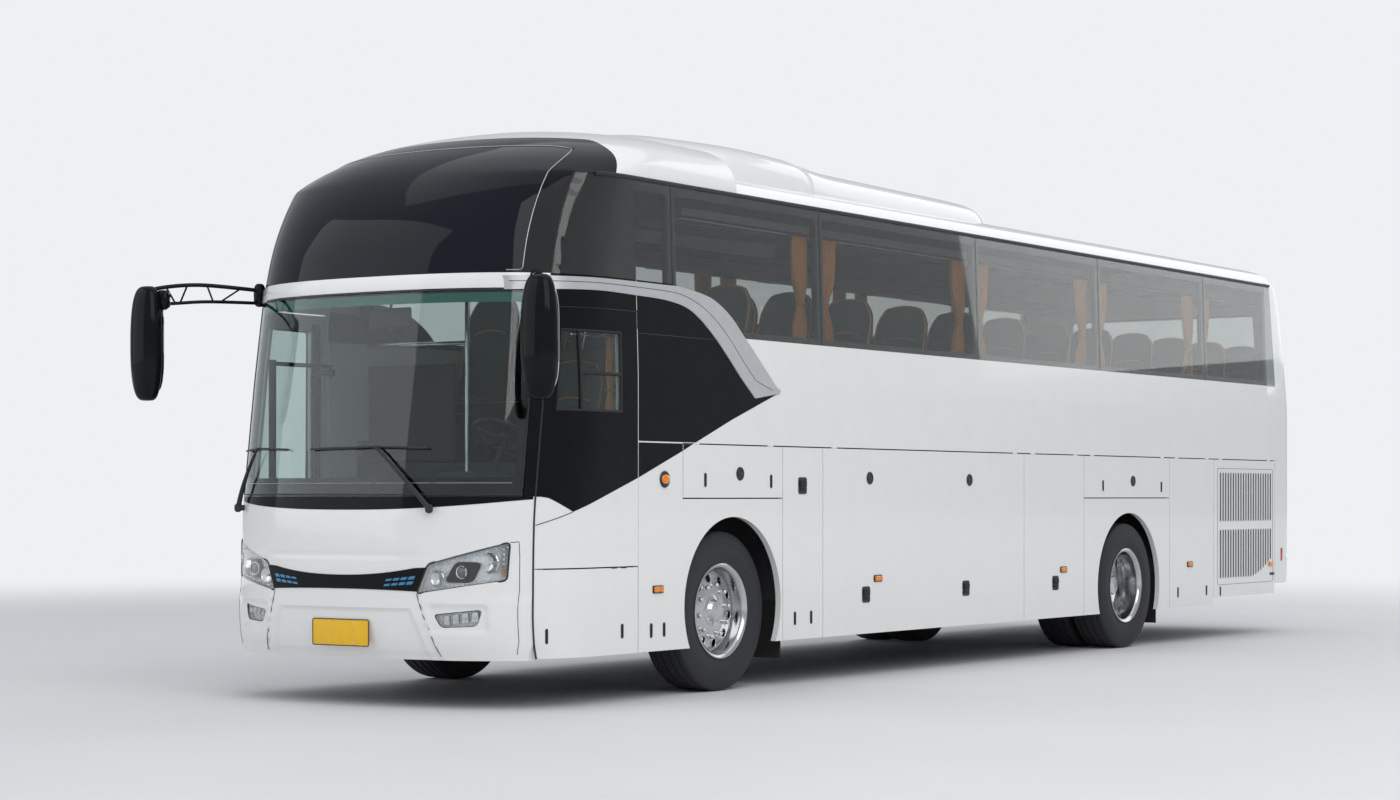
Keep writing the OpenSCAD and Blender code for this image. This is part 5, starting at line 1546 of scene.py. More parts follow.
@dataclass
class RearEnd:
    """Rear wall, its window, the bumper and the engine door."""

    thick: float = 0.05

    def build(self) -> None:
        """Builds the pieces of the rear."""
        self._wall()
        self._window()
        self._bumper()
        self._engine_door()
        self._details()

    def _turn_of(self, x: float, z: float) -> float:
        """The turn at which the rear surface reaches an X."""
        wide = BODY.side_x(z) if z < BODY.rail else BODY.roof(z)
        return math.degrees(math.asin(min(1.0, (abs(x) / wide) ** 2)))

    def _wall(self) -> None:
        """The rear wall, round the window and narrowed beside the last panes."""
        rows = [*spread(BODY.belt, 2.30, 8), *spread(2.30, 2.96, 10)[1:], *spread(2.96, 3.195, 5)[1:],
                *[3.195 + 0.23 * (1 - (1 - t) ** 2) for t in spread(0, 1, 12)[1:]]]
        half_columns = [*spread(0, 0.96, 12), *[None] * 14, 95.0, 100.0]
        columns = [(-1, c, k) for k, c in reversed(list(enumerate(half_columns))) if k]
        columns += [(1, c, k) for k, c in enumerate(half_columns)]
        def at(i: int, j: int, depth: float) -> Vector:
            """A point of the rear wall."""
            z = rows[i]
            sign, kind, k = columns[j]
            first = self._turn_of(0.96, z) if z < 3.25 else 45.0
            if kind is not None and kind > 90:
                turn = kind
            elif kind is None:
                turn = first + (90 - first) * (k - 12) / 14
            elif z < 3.25:
                turn = self._turn_of(kind, z)
            else:
                turn = 45.0 * (kind / 0.96) ** 2
            flush = 0.0
            station = BODY.stern(z, sign * turn, 0).y - BODY.front_y
            if 2.27 < z <= 3.1955 and station < 11.527 - (z - 2.27) * 0.1027 and turn > 60:
                flush = 0.010
            return BODY.stern(z, sign * turn, depth + flush)
        low = rows.index(2.30)
        high = rows.index(2.96)
        first = next(j for j, c in enumerate(columns) if c[0] == -1 and c[2] == 12)
        last = next(j for j, c in enumerate(columns) if c[0] == 1 and c[2] == 12)
        piece = Piece("rear_wall_panel")
        piece.add(*sheet(len(rows) - 1, len(columns) - 1, at, 0.038,
                         lambda i, j: low <= i < high and first <= j < last), WHITE)
        piece.build(slot="body_white", stands_for=("rear_wall",))

    def _window(self) -> None:
        """The rear window in its rubber seal, with heating lines."""
        def at(i: int, j: int, depth: float) -> Vector:
            """A point of the rear window."""
            z = 2.3005 + 0.659 * i / 12
            x = -0.9595 + 1.919 * j / 24
            return BODY.stern(z, math.copysign(self._turn_of(x, z), x), 0.006 + depth)
        piece = Piece("rear_pane")
        piece.add(*sheet(12, 24, at, 0.008), SIDE_GLASS)
        piece.build(slot="tinted_glass", stands_for=("rear_window",))
        seal = Piece("rear_pane_seal")
        outline = soften([(-0.955, 2.305), (0.955, 2.305), (0.955, 2.955), (-0.955, 2.955)], 0.05)
        fine = [(a[0] + (b[0] - a[0]) * t, a[1] + (b[1] - a[1]) * t)
                for a, b in zip(outline, [*outline[1:], outline[0]]) for t in (0.0, 0.25, 0.5, 0.75)]
        path = [BODY.stern(z, math.copysign(self._turn_of(x, z), x), 0.001) for x, z in fine]
        seal.add(*tube([*path, path[0]], 0.012, 8), RUBBER)
        seal.build(slot="rubber_black")

    def _bumper(self) -> None:
        """The rear bumper and the corners beside the engine door."""
        turns = [*spread(-100, -90, 3), *spread(-90, 90, 60)[1:-1], *spread(90, 100, 3)]
        end = 11.496
        piece = Piece("rear_bumper_shell")
        def low_at(i: int, j: int, depth: float) -> Vector:
            """A point of the bumper, with a soft ledge along its top."""
            z = 0.45 + 0.306 * i / 16
            ledge = 0.010 * math.exp(-((z - 0.70) / 0.02) ** 2) if abs(turns[j]) < 85 else 0.0
            return BODY.stern(z, turns[j], depth + ledge, end)
        piece.add(*sheet(16, len(turns) - 1, low_at, self.thick), WHITE)
        for sign in (-1, 1):
            side_turns = [*spread(38, 90, 20), *spread(90, 100, 3)[1:]]
            def high_at(i: int, j: int, depth: float, sign: int = sign) -> Vector:
                """A point of a rear corner."""
                return BODY.stern(0.756 + 0.8286 * i / 20, sign * side_turns[j], depth, end)
            piece.add(*sheet(20, len(side_turns) - 1, high_at, self.thick), WHITE)
        piece.build(slot="body_white", stands_for=("rear_bumper",))

    def _engine_door(self) -> None:
        """The engine door with its louvres and two catches."""
        piece = Piece("engine_door_panel")
        def at(i: int, j: int, depth: float) -> Vector:
            """A point of the engine door."""
            return BODY.stern(0.764 + 0.813 * i / 20, -37 + 74 * j / 30, depth)
        piece.add(*sheet(20, 30, at, 0.04), WHITE)
        rear = BODY.y(BODY.length)
        for x in (-0.26, 0.20):
            piece.add(*tube([Vector((x, rear, 1.581)), Vector((x + 0.06, rear, 1.581))], 0.0036, 12),
                      STEEL)
            piece.add(*block((x, rear - 0.012, 1.573), (x + 0.06, rear, 1.581)), STEEL)
        for k in range(9):
            z = 1.26 + k * 0.030
            for sign in (-1, 1):
                x0, x1 = sorted((sign * 0.12, sign * 0.62))
                y = BODY.stern(z, self._turn_of(0.4, z), 0).y
                piece.add(*block((x0, y - 0.004, z), (x1, y + 0.0022, z + 0.014), 0.002), GRILLE_DARK)
        for x in (-0.62, 0.62):
            y = BODY.stern(0.83, self._turn_of(x, 0.83), 0).y
            piece.add(*block((x - 0.04, y - 0.002, 0.81), (x + 0.04, y + 0.006, 0.85), 0.005), TRIM)
        y = BODY.stern(1.0, 0, 0).y
        piece.add(*block((-0.25, y - 0.002, 0.90), (0.25, y + 0.002, 1.04), 0.002), PLATE)
        piece.add(*block((-0.20, y - 0.001, 1.055), (0.20, y + 0.010, 1.075), 0.004), TRIM)
        piece.build("engine_door", "body_white", ("engine_door",))

    def _details(self) -> None:
        """Reflectors in the bumper, a joint line and the exhaust."""
        piece = Piece("rear_details")
        for sign in (-1, 1):
            turn = sign * self._turn_of(0.82, 0.56)
            spot = BODY.stern(0.56, turn, 0.0)
            piece.add(*pillow(spot, (0.075, 0.008, 0.022), 4, 8, 24), RED_LENS)
            path = [BODY.stern(z, sign * 37.5, 0.004) for z in spread(0.76, 1.58, 20)]
            piece.add(*tube(path, 0.004, 6), TRIM)
        exhaust = [Vector((-0.62, BODY.y(11.10), 0.62)), Vector((-0.62, BODY.y(11.55), 0.60)),
                   Vector((-0.66, BODY.y(11.80), 0.50)), Vector((-0.68, BODY.y(11.86), 0.44))]
        piece.add(*tube(exhaust, 0.045, 20), CAST)
        piece.build(slot="trim_plastic")


@dataclass
class Mirrors:
    """The two outside mirrors with their arms."""

    foot_z: float = 2.525
    foot_turn: float = 55.35

    def build(self) -> None:
        """Builds both mirrors in one piece on the body."""
        piece = Piece("outside_mirrors")
        left_foot = BODY.skin(self.foot_z, self.foot_turn, -0.028)
        self._pod(piece, Vector((1.420, BODY.y(0.110), 2.160)), (0.118, 0.092, 0.358), 1)
        top = Vector((1.400, BODY.y(0.125), 2.470))
        path = [left_foot, left_foot.lerp(top, 0.5) + Vector((0, 0, 0.03)), top]
        piece.add(*tube(self._bend(path), 0.024, 14, 1.5), BLACK)
        piece.add(*pillow(left_foot, (0.036, 0.036, 0.060), 3, 10, 20), BLACK)
        right_foot = BODY.skin(self.foot_z, -self.foot_turn, -0.028)
        pod = Vector((-1.440, BODY.y(-0.150), 2.200))
        self._pod(piece, pod, (0.112, 0.088, 0.356), -1)
        self._pod(piece, pod + Vector((0.075, 0.055, 0.27)), (0.050, 0.040, 0.062), -1)
        high = [right_foot + Vector((0, 0, 0.03)), Vector((-1.28, BODY.y(0.14), 2.575)),
                Vector((-1.40, BODY.y(-0.10), 2.545)), pod + Vector((0.02, 0.01, 0.31))]
        low = [right_foot + Vector((0, 0, -0.05)), Vector((-1.24, BODY.y(0.16), 2.470)),
               Vector((-1.36, BODY.y(-0.06), 2.450)), pod + Vector((0.03, 0.01, 0.26))]
        upper, lower = self._bend(high), self._bend(low)
        piece.add(*tube(upper, 0.013, 12), BLACK)
        piece.add(*tube(lower, 0.011, 12), BLACK)
        for k in range(1, 6):
            i = k * len(upper) // 7
            piece.add(*tube([upper[i], lower[min(len(lower) - 1, i + (k % 2) * 3)]], 0.006, 8), BLACK)
        piece.add(*pillow(right_foot, (0.034, 0.034, 0.075), 3, 10, 20), BLACK)
        piece.build(slot="black_panel", stands_for=("mirrors",))

    def _bend(self, points: Sequence[Vector]) -> list[Vector]:
        """A smooth line through a few points."""
        points = [points[0], *points, points[-1]]
        line = []
        for a, b, c, d in zip(points, points[1:], points[2:], points[3:]):
            for t in spread(0, 1, 8)[:-1]:
                line.append(0.5 * ((2 * b) + (c - a) * t + (2 * a - 5 * b + 4 * c - d) * t ** 2
                                   + (3 * b - a - 3 * c + d) * t ** 3))
        return [*line, points[-1]]

    def _pod(self, piece: Piece, centre: Vector, size: Sequence[float], sign: int) -> None:
        """A rounded housing with a glass that looks back."""
        rows, columns = 28, 36
        verts = []
        for i in range(rows + 1):
            a = math.pi * i / rows - math.pi / 2
            tall = math.copysign(abs(math.sin(a)) ** 0.85, math.sin(a))
            wide = abs(math.cos(a)) ** 0.5
            for j in range(columns):
                b = 2 * math.pi * j / columns
                ahead = math.sin(b)
                x = math.copysign(abs(math.cos(b)) ** 0.75, math.cos(b)) * wide
                y = (ahead * 0.55 if ahead > 0 else math.copysign(abs(ahead) ** 0.8, ahead)) * wide
                verts.append(centre + Vector((size[0] * x, size[1] * y, size[2] * tall)))
        faces = around(rows, columns)
        piece.add(verts, faces, BLACK)
        shape = [(x * size[0] * 0.80, z * size[2] * 0.84) for x, z in
                 soften([(-1, -1), (1, -1), (1, 1), (-1, 1)], 0.7, 8)]
        back = centre.y + size[1] * 0.52
        piece.add(*plate([shape], 0.05, lambda x, z, out: Vector((centre.x + x, back + out,
                                                                  centre.z + z)), 0.006, 0.004),
                  MIRROR_GLASS)


@dataclass
class Wipers:
    """Two wipers, each with a spindle, an arm and a blade that lies across the glass."""

    turns: tuple[Point, ...] = ((-50.0, -32.5), (24.6, 7.1))
    low: float = 1.18
    high: float = 1.545

    def build(self) -> None:
        """Builds both wipers in one piece."""
        piece = Piece("wiper_set")
        for turn, tip_turn in self.turns:
            foot = BODY.skin(self.low, turn, -0.030)
            tip = BODY.skin(self.high, tip_turn, -0.034)
            piece.add(*tube([BODY.skin(self.low, turn, 0.0), BODY.skin(self.low, turn, -0.044)],
                            0.018, 20), TRIM)
            piece.add(*pillow(BODY.skin(self.low, turn, -0.036), (0.028, 0.012, 0.028), 2.6, 8, 20),
                      TRIM)
            line = [BODY.skin(self.low + (self.high - self.low) * t, turn + (tip_turn - turn) * t,
                              -0.034) for t in spread(0, 1, 12)]
            line[0] = foot
            piece.add(*tube(line, [0.017 - 0.009 * t for t in spread(0, 1, 12)], 10, 0.6), TRIM)
            blade = [BODY.skin(self.high - 0.010 * abs(t), tip_turn + 15.5 * t, -0.016)
                     for t in spread(-1, 1, 26)]
            piece.add(*tube(blade, 0.0085, 8, 0.7), TRIM)
            spine = [BODY.skin(self.high - 0.006 * abs(t), tip_turn + 9.0 * t, -0.026 + 0.004 * abs(t))
                     for t in spread(-1, 1, 16)]
            piece.add(*tube(spine, 0.0055, 8), TRIM)
            edge = [BODY.skin(self.high - 0.010 * abs(t), tip_turn + 15.5 * t, -0.0065)
                    for t in spread(-1, 1, 26)]
            piece.add(*tube(edge, 0.0055, 6, 0.5), RUBBER)
            piece.add(*tube([tip, BODY.skin(self.high, tip_turn, -0.022)], 0.008, 10), TRIM)
        piece.build(slot="trim_plastic", stands_for=("wipers",))


@dataclass
class Wheels:
    """Tyres with tread and lettering-free sidewalls, and alloy rims."""

    tyre_r: float = 0.515
    width: float = 0.296
    seat_r: float = 0.286
    flange_r: float = 0.307
    axle_z: float = 0.515
    front_s: float = 2.325
    rear_s: float = 8.325
    front_x: float = 1.052
    rear_x: float = 0.940
    pitch: float = 0.330

    def build(self) -> None:
        """Builds every tyre and rim on the body of its wheel."""
        for side, sign in (("left", 1), ("right", -1)):
            body = f"front_{side}_wheel"
            axis = Vector((sign, 0, 0))
            centre = Vector((sign * self.front_x, BODY.y(self.front_s), self.axle_z))
            tyre = Piece(f"front_{side}_tyre_detailed")
            self._tyre(tyre, centre, axis)
            tyre.build(body, "tyre_rubber", (f"front_{side}_tyre",), 28)
            rim = Piece(f"front_{side}_rim_detailed")
            self._rim(rim, centre, axis, 0.052, True)
            rim.build(body, "alloy", (f"front_{side}_rim",), 40)
            body = f"rear_{side}_wheel"
            tyres = Piece(f"rear_{side}_tyres_detailed")
            rims = Piece(f"rear_{side}_rims_detailed")
            for k in (-1, 1):
                centre = Vector((sign * (self.rear_x + k * self.pitch / 2), BODY.y(self.rear_s),
                                 self.axle_z))
                self._tyre(tyres, centre, axis)
                if k < 0:
                    self._rim(rims, centre, axis, 0.153, False)
                else:
                    self._rim(rims, centre, axis, -0.094, False)
                    self._hub(rims, centre, axis, -0.090, 0.118)
            tyres.build(body, "tyre_rubber", (f"rear_{side}_tyres",), 28)
            rims.build(body, "alloy", (f"rear_{side}_rims",), 40)

    def _tyre(self, piece: Piece, centre: Vector, axis: Vector) -> None:
        """One tyre: grooved tread with sipes at the shoulders, ribs on the sidewalls."""
        r, steps = self.tyre_r, 144
        grooves = (-0.084, -0.030, 0.030, 0.084)
        profile: list[Point] = []
        for d in spread(-0.118, 0.118, 59):
            deep = 0.0
            for g in grooves:
                gap = abs(d - g)
                if gap < 0.0065:
                    deep = 0.012 * min(1.0, (0.0065 - gap) / 0.002)
            profile.append((r - 0.30 * (d / 0.118) ** 4 * 0.012 - deep, d))
        side = [(r - 0.006, 0.124), (r - 0.016, 0.1325), (r - 0.034, 0.139), (r - 0.036, 0.1375),
                (r - 0.044, 0.1405), (r - 0.080, 0.1455), (r - 0.083, 0.1440), (r - 0.092, 0.1462),
                (r - 0.110, 0.1475), (r - 0.135, 0.1472), (r - 0.150, 0.1455), (r - 0.152, 0.1437),
                (r - 0.160, 0.1430), (r - 0.185, 0.1385), (self.seat_r + 0.030, 0.1345),
                (self.seat_r + 0.020, 0.1345), (self.seat_r + 0.006, 0.128), (self.seat_r, 0.118)]
        profile = [*profile, *side, *[(a, -b) for a, b in reversed(side)]]
        verts, faces = turned(profile, centre, axis, steps)
        # Cross cuts at the shoulders: every third step of the turn sinks a little
        size, shoulder = len(profile), 0.093
        for k in range(steps):
            if k % 3 == 0:
                for j, (_, depth) in enumerate(profile[:60]):
                    if abs(depth) > shoulder:
                        v = verts[k * size + j]
                        ray = v - centre - axis * depth
                        verts[k * size + j] = v - ray.normalized() * 0.0055
        piece.add(verts, faces, TYRE)

    def _rim(self, piece: Piece, centre: Vector, axis: Vector, disc: float, steer: bool) -> None:
        """One rim: a barrel, and a disc with ten round hand holes.

        Args:
            piece: the piece that it goes into.
            centre: middle of the wheel.
            axis: direction to the outside.
            disc: depth of the disc's face.
            steer: True on a front wheel, whose disc bulges outwards.
        """
        half, hole_circle, bolt_circle = self.width / 2, 0.212, 0.1675
        lip, seat = self.flange_r - 0.001, self.seat_r - 0.0005
        barrel = []
        for s in (1, -1):
            ends = [(seat, s * (half - 0.030)), (lip - 0.006, s * (half - 0.0185)),
                    (lip, s * (half - 0.014)), (lip + 0.000, s * (half - 0.007)),
                    (lip - 0.006, s * (half - 0.004)), (lip - 0.016, s * (half - 0.008)),
                    (seat - 0.012, s * (half - 0.022)), (seat - 0.016, s * (half - 0.040))]
            barrel += ends if s > 0 else ends[::-1]
        piece.add(*turned(barrel, centre, axis, 96), ALLOY)
        outer, inner, holes = seat - 0.014, 0.062, []
        away = axis.orthogonal().normalized()
        other = axis.cross(away)
        for k in range(10):
            a = 2 * math.pi * (k + 0.5) / 10
            holes.append(ring((hole_circle * math.cos(a), hole_circle * math.sin(a)), 0.027, 20))
        def face(a: float, b: float, out: float) -> Vector:
            """A point of the disc; a front one is crowned and its hub stands out."""
            radius = math.hypot(a, b)
            if steer:
                height = 0.020 * math.cos(min(1.0, (radius - 0.06) / 0.20) * math.pi / 2)
                height -= 0.030 * max(0.0, (radius - 0.245) / 0.030) ** 2 * 0.8
            else:
                height = -0.016 * max(0.0, (radius - 0.150) / 0.12) * (1 if disc > 0 else -1)
            dish = 0.004 * math.exp(-((radius - hole_circle) / 0.030) ** 2)
            return centre + away * a + other * b + axis * (disc + height - dish + out)
        loops = [ring((0, 0), outer, 72), *holes, ring((0, 0), inner, 36)]
        piece.add(*plate(loops, 0.017, face, 0.014), ALLOY)
        for k in range(10):
            a = 2 * math.pi * (k + 0.5) / 10
            rim_path = [face(x, y, 0.0015) for x, y in
                        ring((hole_circle * math.cos(a), hole_circle * math.sin(a)), 0.0285, 20)]
            piece.add(*tube([*rim_path, rim_path[0]], 0.0028, 6), ALLOY)
        for k in range(10):
            a = 2 * math.pi * k / 10
            spot = face(bolt_circle * math.cos(a), bolt_circle * math.sin(a), 0.0)
            piece.add(*turned([(0.0, -0.004), (0.021, -0.004), (0.021, 0.004), (0.0165, 0.006),
                               (0.0165, 0.024), (0.012, 0.030), (0.0, 0.030)], spot, axis, 12), CHROME)
        if steer:
            self._hub(piece, centre, axis, disc + 0.016, 0.034)

    def _hub(self, piece: Piece, centre: Vector, axis: Vector, start: float, tall: float) -> None:
        """The hub cap with its ring of small bolts."""
        base = centre + axis * start
        big = 0.100 if tall < 0.06 else 0.118
        piece.add(*turned([(0.0, -0.010), (big, -0.010), (big, 0.004), (big * 0.86, 0.010),
                           (big * 0.74, 0.012), (big * 0.66, tall - 0.010), (big * 0.58, tall),
                           (0.0, tall + 0.003)], base, axis, 48), ALLOY)
        away = axis.orthogonal().normalized()
        other = axis.cross(away)
        for k in range(8):
            a = 2 * math.pi * k / 8
            spot = base + (away * math.cos(a) + other * math.sin(a)) * big * 0.80 + axis * 0.010
            piece.add(*turned([(0.0, -0.002), (0.0075, -0.002), (0.0075, 0.006), (0.0, 0.006)],
                              spot, axis, 6), CHROME)


@dataclass
class Cabin:
    """Seats, curtains and what shows through the windscreen."""

    deck: float = 1.47
    platform: float = 0.93
    step_s: float = 1.56
    pitch: float = 0.79
    rows: int = 12
    places: tuple[float, ...] = (0.96, 0.50, -0.50, -0.96)
    width: float = 0.44
    driver: tuple[float, float] = (0.62, 0.92)
    inset: float = 0.115

    def build(self) -> None:
        """Builds the inside."""
        self._seats()
        self._curtains()
        self._dashboard()
        self._steering()
        self._fittings()
        self._lining()

    def _seat(self, cloth: Piece, frame_piece: Piece, x: float, s: float, z: float, wide: float,
              tall: float) -> None:
        """One seat: cushion, shaped back, piping, armrest and foot."""
        half = wide / 2 - 0.006
        y = BODY.y(s)
        def cushion(i: int, j: int) -> Vector:
            """A point of the crowned cushion."""
            u, v = 2 * i / 10 - 1, 2 * j / 10 - 1
            crown = 0.026 * (1 - u * u) * (1 - 0.5 * v * v) + 0.012 * u ** 4
            nose = -0.030 * max(0.0, -v - 0.55) ** 1.2 * 3
            return Vector((x + u * half * (1 - 0.03 * v * v), y + 0.225 + v * 0.218,
                           z + 0.440 + crown + nose))
        top = [cushion(i, j) for i in range(11) for j in range(11)]
        low = [Vector((p.x * 0.97 + x * 0.03, p.y * 0.97 + (y + 0.225) * 0.03, z + 0.345)) for p in top]
        faces = [(i * 11 + j, (i + 1) * 11 + j, (i + 1) * 11 + j + 1, i * 11 + j + 1)
                 for i in range(10) for j in range(10)]
        cloth.add(*thicken(top, low, faces), SEAT_CLOTH)
        def back(i: int, j: int, face: int) -> Vector:
            """A point of the back: wings at the shoulders and a head rest on top."""
            u, t = 2 * i / 12 - 1, j / 20
            rise = t * tall
            width = half * (1 - 0.05 * t - 0.30 * max(0.0, (t - 0.78) / 0.22) ** 2.2)
            lean = 0.430 + rise * 0.2079
            wing = 0.030 * abs(u) ** 3 * (0.4 + 0.6 * math.sin(math.pi * min(1, t * 1.1)))
            lumbar = 0.018 * math.exp(-((t - 0.28) / 0.16) ** 2) * (1 - u * u)
            head = 0.022 * math.exp(-((t - 0.88) / 0.08) ** 2) * (1 - u ** 4)
            front = lean - wing * 0.9 + 0.022 - lumbar * 0.7 - head * 0.8
            thick = 0.088 - 0.030 * t
            crest = 0.022 * (1 - u * u) * (t > 0.9) * (t - 0.9) * 10
            depth = front if face == 0 else front + thick * (1 - 0.35 * u ** 4)
            return Vector((x + u * width, y + depth, z + 0.408 + rise * 0.978 + crest))
        outer = [back(i, j, 0) for i in range(13) for j in range(21)]
        inner = [back(i, j, 1) for i in range(13) for j in range(21)]
        faces = [(i * 21 + j, i * 21 + j + 1, (i + 1) * 21 + j + 1, (i + 1) * 21 + j)
                 for i in range(12) for j in range(20)]
        cloth.add(*thicken(outer, inner, faces), SEAT_CLOTH)
        for i in (0, 12):
            edge = [back(i, j, 0) for j in range(0, 21)]
            cloth.add(*tube(edge, 0.007, 6), PIPING)
        edge = [back(i, 20, 0) for i in range(13)]
        cloth.add(*tube(edge, 0.007, 6), PIPING)
        arc = [back(i, 13, 0) + Vector((0, -0.002, 0.05 * math.cos((i - 6) / 6 * math.pi / 2)))
               for i in range(2, 11)]
        cloth.add(*tube(arc, 0.006, 6), PIPING)
        arc = [back(i, 13, 1) + Vector((0, 0.003, 0.05 * math.cos((i - 6) / 6 * math.pi / 2)))
               for i in range(2, 11)]
        cloth.add(*tube(arc, 0.006, 6), PIPING)
        edge = [cushion(i, 0) + Vector((0, -0.001, -0.004)) for i in range(11)]
        cloth.add(*tube(edge, 0.006, 6), PIPING)
        frame_piece.add(*block((x - half * 0.94, y + 0.03, z + 0.318), (x + half * 0.94, y + 0.50, z + 0.344),
                               0.008, 2), DASH)
        frame_piece.add(*block((x - 0.035, y + 0.13, z), (x + 0.035, y + 0.34, z + 0.32), 0.010, 2), STEEL)
        side = math.copysign(half * 0.97, -x)
        frame_piece.add(*block((x + side - 0.020, y + 0.10, z + 0.600),
                               (x + side + 0.020, y + 0.46, z + 0.635), 0.012, 2), DASH)

    def _seats(self) -> None:
        """All passenger seats and the driver's seat."""
        cloth, stands = Piece("seat_covers"), Piece("seat_frames")
        for row in range(self.rows):
            for x in self.places:
                self._seat(cloth, stands, x, self.step_s + 0.56 + row * self.pitch, self.deck,
                           self.width, 0.76)
        self._seat(cloth, stands, self.driver[0], self.driver[1], self.platform, 0.50, 0.76)
        made = cloth.build(slot="seat_fabric", stands_for=("seat_cushions", "seat_backs"), sharp=50)
        stands.build(slot="trim_plastic")

    def _curtains(self) -> None:
        """Tied curtains in pairs at the joints of the side glass."""
        count = 0
        for sign in (1, -1):
            for post in (3.445, 5.689, 7.785, 9.910):
                for lean in (-1, 1):
                    count += 1
                    self._curtain(f"curtain_{count:02d}", sign, post + (0.265 if lean > 0 else -0.10),
                                  lean, count)
        self._curtain("curtain_driver", 1, 1.175, 1, 31, 2.215, 0.50)
        self._curtain_rails()

    def _curtain_rails(self) -> None:
        """Thin rails that the curtains hang from, under the racks and at the driver's wall."""
        piece = Piece("curtain_rails")
        for sign, upper, z, first, last in ((1, 2.8, 3.010, 1.92, 11.3), (-1, 2.8, 3.010, 1.92, 11.3),
                                            (1, 1.9, 2.217, 0.75, 1.27)):
            x = sign * (BODY.side_x(upper) - self.inset)
            piece.add(*tube([Vector((x, BODY.y(first), z)), Vector((x, BODY.y(last), z))], 0.005, 8),
                      CHROME)
            end = Vector((0, 0, 0.011)) if z > 3 else Vector((sign * (BODY.side_x(z) - 0.049) - x, 0, 0))
            for s in spread(first + 0.02, last - 0.02, 8 if z > 3 else 1):
                start = Vector((x, BODY.y(s), z))
                piece.add(*tube([start, start + end], 0.006, 8), CHROME)
        piece.build(slot="trim_plastic")

    def _curtain(self, name: str, sign: int, station: float, lean: int, seed: int,
                 top: float = 3.006, tall: float = 0.71) -> None:
        """One curtain: pleated, gathered by a tie at nearly two thirds of its drop.

        Args:
            name: name of the piece.
            sign: side of the coach.
            station: station of its middle.
            lean: the way that its lower part is pulled.
            seed: shifts its folds.
            top: height of its upper edge.
            tall: its drop.
        """
        folds, rows, steps = 9, 26, 72
        large = tall > 0.6
        flat = 0.62 if large else 0.40
        tie = 0.64
        piece = Piece(name)
        def span_at(t: float) -> float:
            """Width between its edges at a share of the drop."""
            pinch = math.exp(-((t - tie) / 0.15) ** 2)
            return (0.205 - 0.035 * t) * (1 - 0.66 * pinch) * flat / 0.62
        def deep_at(wide: float) -> float:
            """Depth of the folds that keeps the cloth's length."""
            low, high = 0.0, 0.08
            for _ in range(24):
                mid = (low + high) / 2
                length, last = 0.0, None
                for i in range(61):
                    a = i / 60
                    p = (a * wide / folds, mid * math.sin(2 * math.pi * a))
                    length += math.dist(p, last) if last else 0.0
                    last = p
                low, high = (mid, high) if length * folds < flat else (low, mid)
            return low
        x0 = BODY.side_x(2.8 if large else 1.9) - self.inset
        verts = []
        for r in range(rows + 1):
            t = r / rows
            wide, drop = span_at(t), t * tall
            deep = deep_at(wide)
            shift = -lean * 0.028 * math.exp(-((t - tie) / 0.30) ** 2)
            for i in range(steps + 1):
                a = i / steps
                wave = math.sin(2 * math.pi * folds * a + seed * 0.7)
                slack = 0.004 * math.sin(5 * t + 9 * a + seed)
                verts.append(Vector((sign * (x0 + deep * wave),
                                     BODY.y(station + shift + (a - 0.5) * wide + slack),
                                     top - drop)))
        wide = steps + 1
        faces = [(r * wide + i, r * wide + i + 1, (r + 1) * wide + i + 1, (r + 1) * wide + i)
                 for r in range(rows) for i in range(steps)]
        # The cloth colour carries painted light for the sun falling on the curtain
        piece.add(verts, faces, CURTAIN_PAINTED_LIGHT)
        made = piece.build(slot="seat_fabric", sharp=60)
        band = Piece(f"{name}_tie")
        middle = Vector((sign * x0, BODY.y(station - lean * 0.028), top - tie * tall))
        loop = [middle + Vector((0.030 * math.cos(a), 0.048 * flat / 0.62 * math.sin(a), 0.004 * math.sin(a)))
                for a in spread(0, 2 * math.pi, 24)]
        band.add(*tube(loop, 0.009, 8, 0.5), PIPING)
        band.build(slot="seat_fabric")

    def _dashboard(self) -> None:
        """The dashboard with its binnacle, dials, vents and a screen."""
        piece = Piece("dashboard_panel")
        turns = spread(-52, 52, 40)
        def at(i: int, j: int, depth: float) -> Vector:
            """A point of the dashboard's front face or its back."""
            z = 0.931 + 0.365 * i / 12
            return BODY.skin(z, turns[j], 0.071 + depth + 0.02 * (i / 12) ** 3)
        piece.add(*sheet(12, 40, at, 0.40), DASH)
        x, y = self.driver[0], BODY.y(0.60)
        piece.add(*block((x - 0.30, y - 0.12, 1.25), (x + 0.30, y + 0.13, 1.40), 0.05, 4), DASH)
        for k, r in ((-0.16, 0.050), (0.0, 0.034), (0.16, 0.050)):
            piece.add(*turned([(0.0, 0.0), (r, 0.0), (r, 0.008), (r * 0.9, 0.008), (r * 0.88, 0.003),
                               (0.0, 0.003)], Vector((x + k, y + 0.130, 1.335)), Vector((0, 1, 0)), 32),
                      CHROME)
        piece.add(*block((0.02, y + 0.02, 1.22), (0.26, y + 0.14, 1.37), 0.02, 3), DASH)
        piece.add(*block((0.05, y + 0.135, 1.24), (0.23, y + 0.144, 1.35), 0.003), CAP_GLASS)
        for k in range(5):
            piece.add(*block((-0.85 + k * 0.17, BODY.y(0.42), 1.29), (-0.73 + k * 0.17, BODY.y(0.47), 1.305),
                             0.004), TRIM)
        hub, turn = self._column()
        piece.add(*turned([(0.0, -0.589), (0.060, -0.589), (0.055, -0.40), (0.045, -0.331),
                           (0.0, -0.331)], hub, turn @ Vector((0, 0, 1)), 32), DASH)
        piece.build(slot="trim_plastic", stands_for=("dashboard",))

    def _column(self) -> tuple[Vector, Matrix]:
        """The steering wheel's middle, and the turn that leans its column."""
        return (Vector((self.driver[0], BODY.y(0.82), 1.60)),
                Matrix.Rotation(math.radians(-32), 3, "X"))

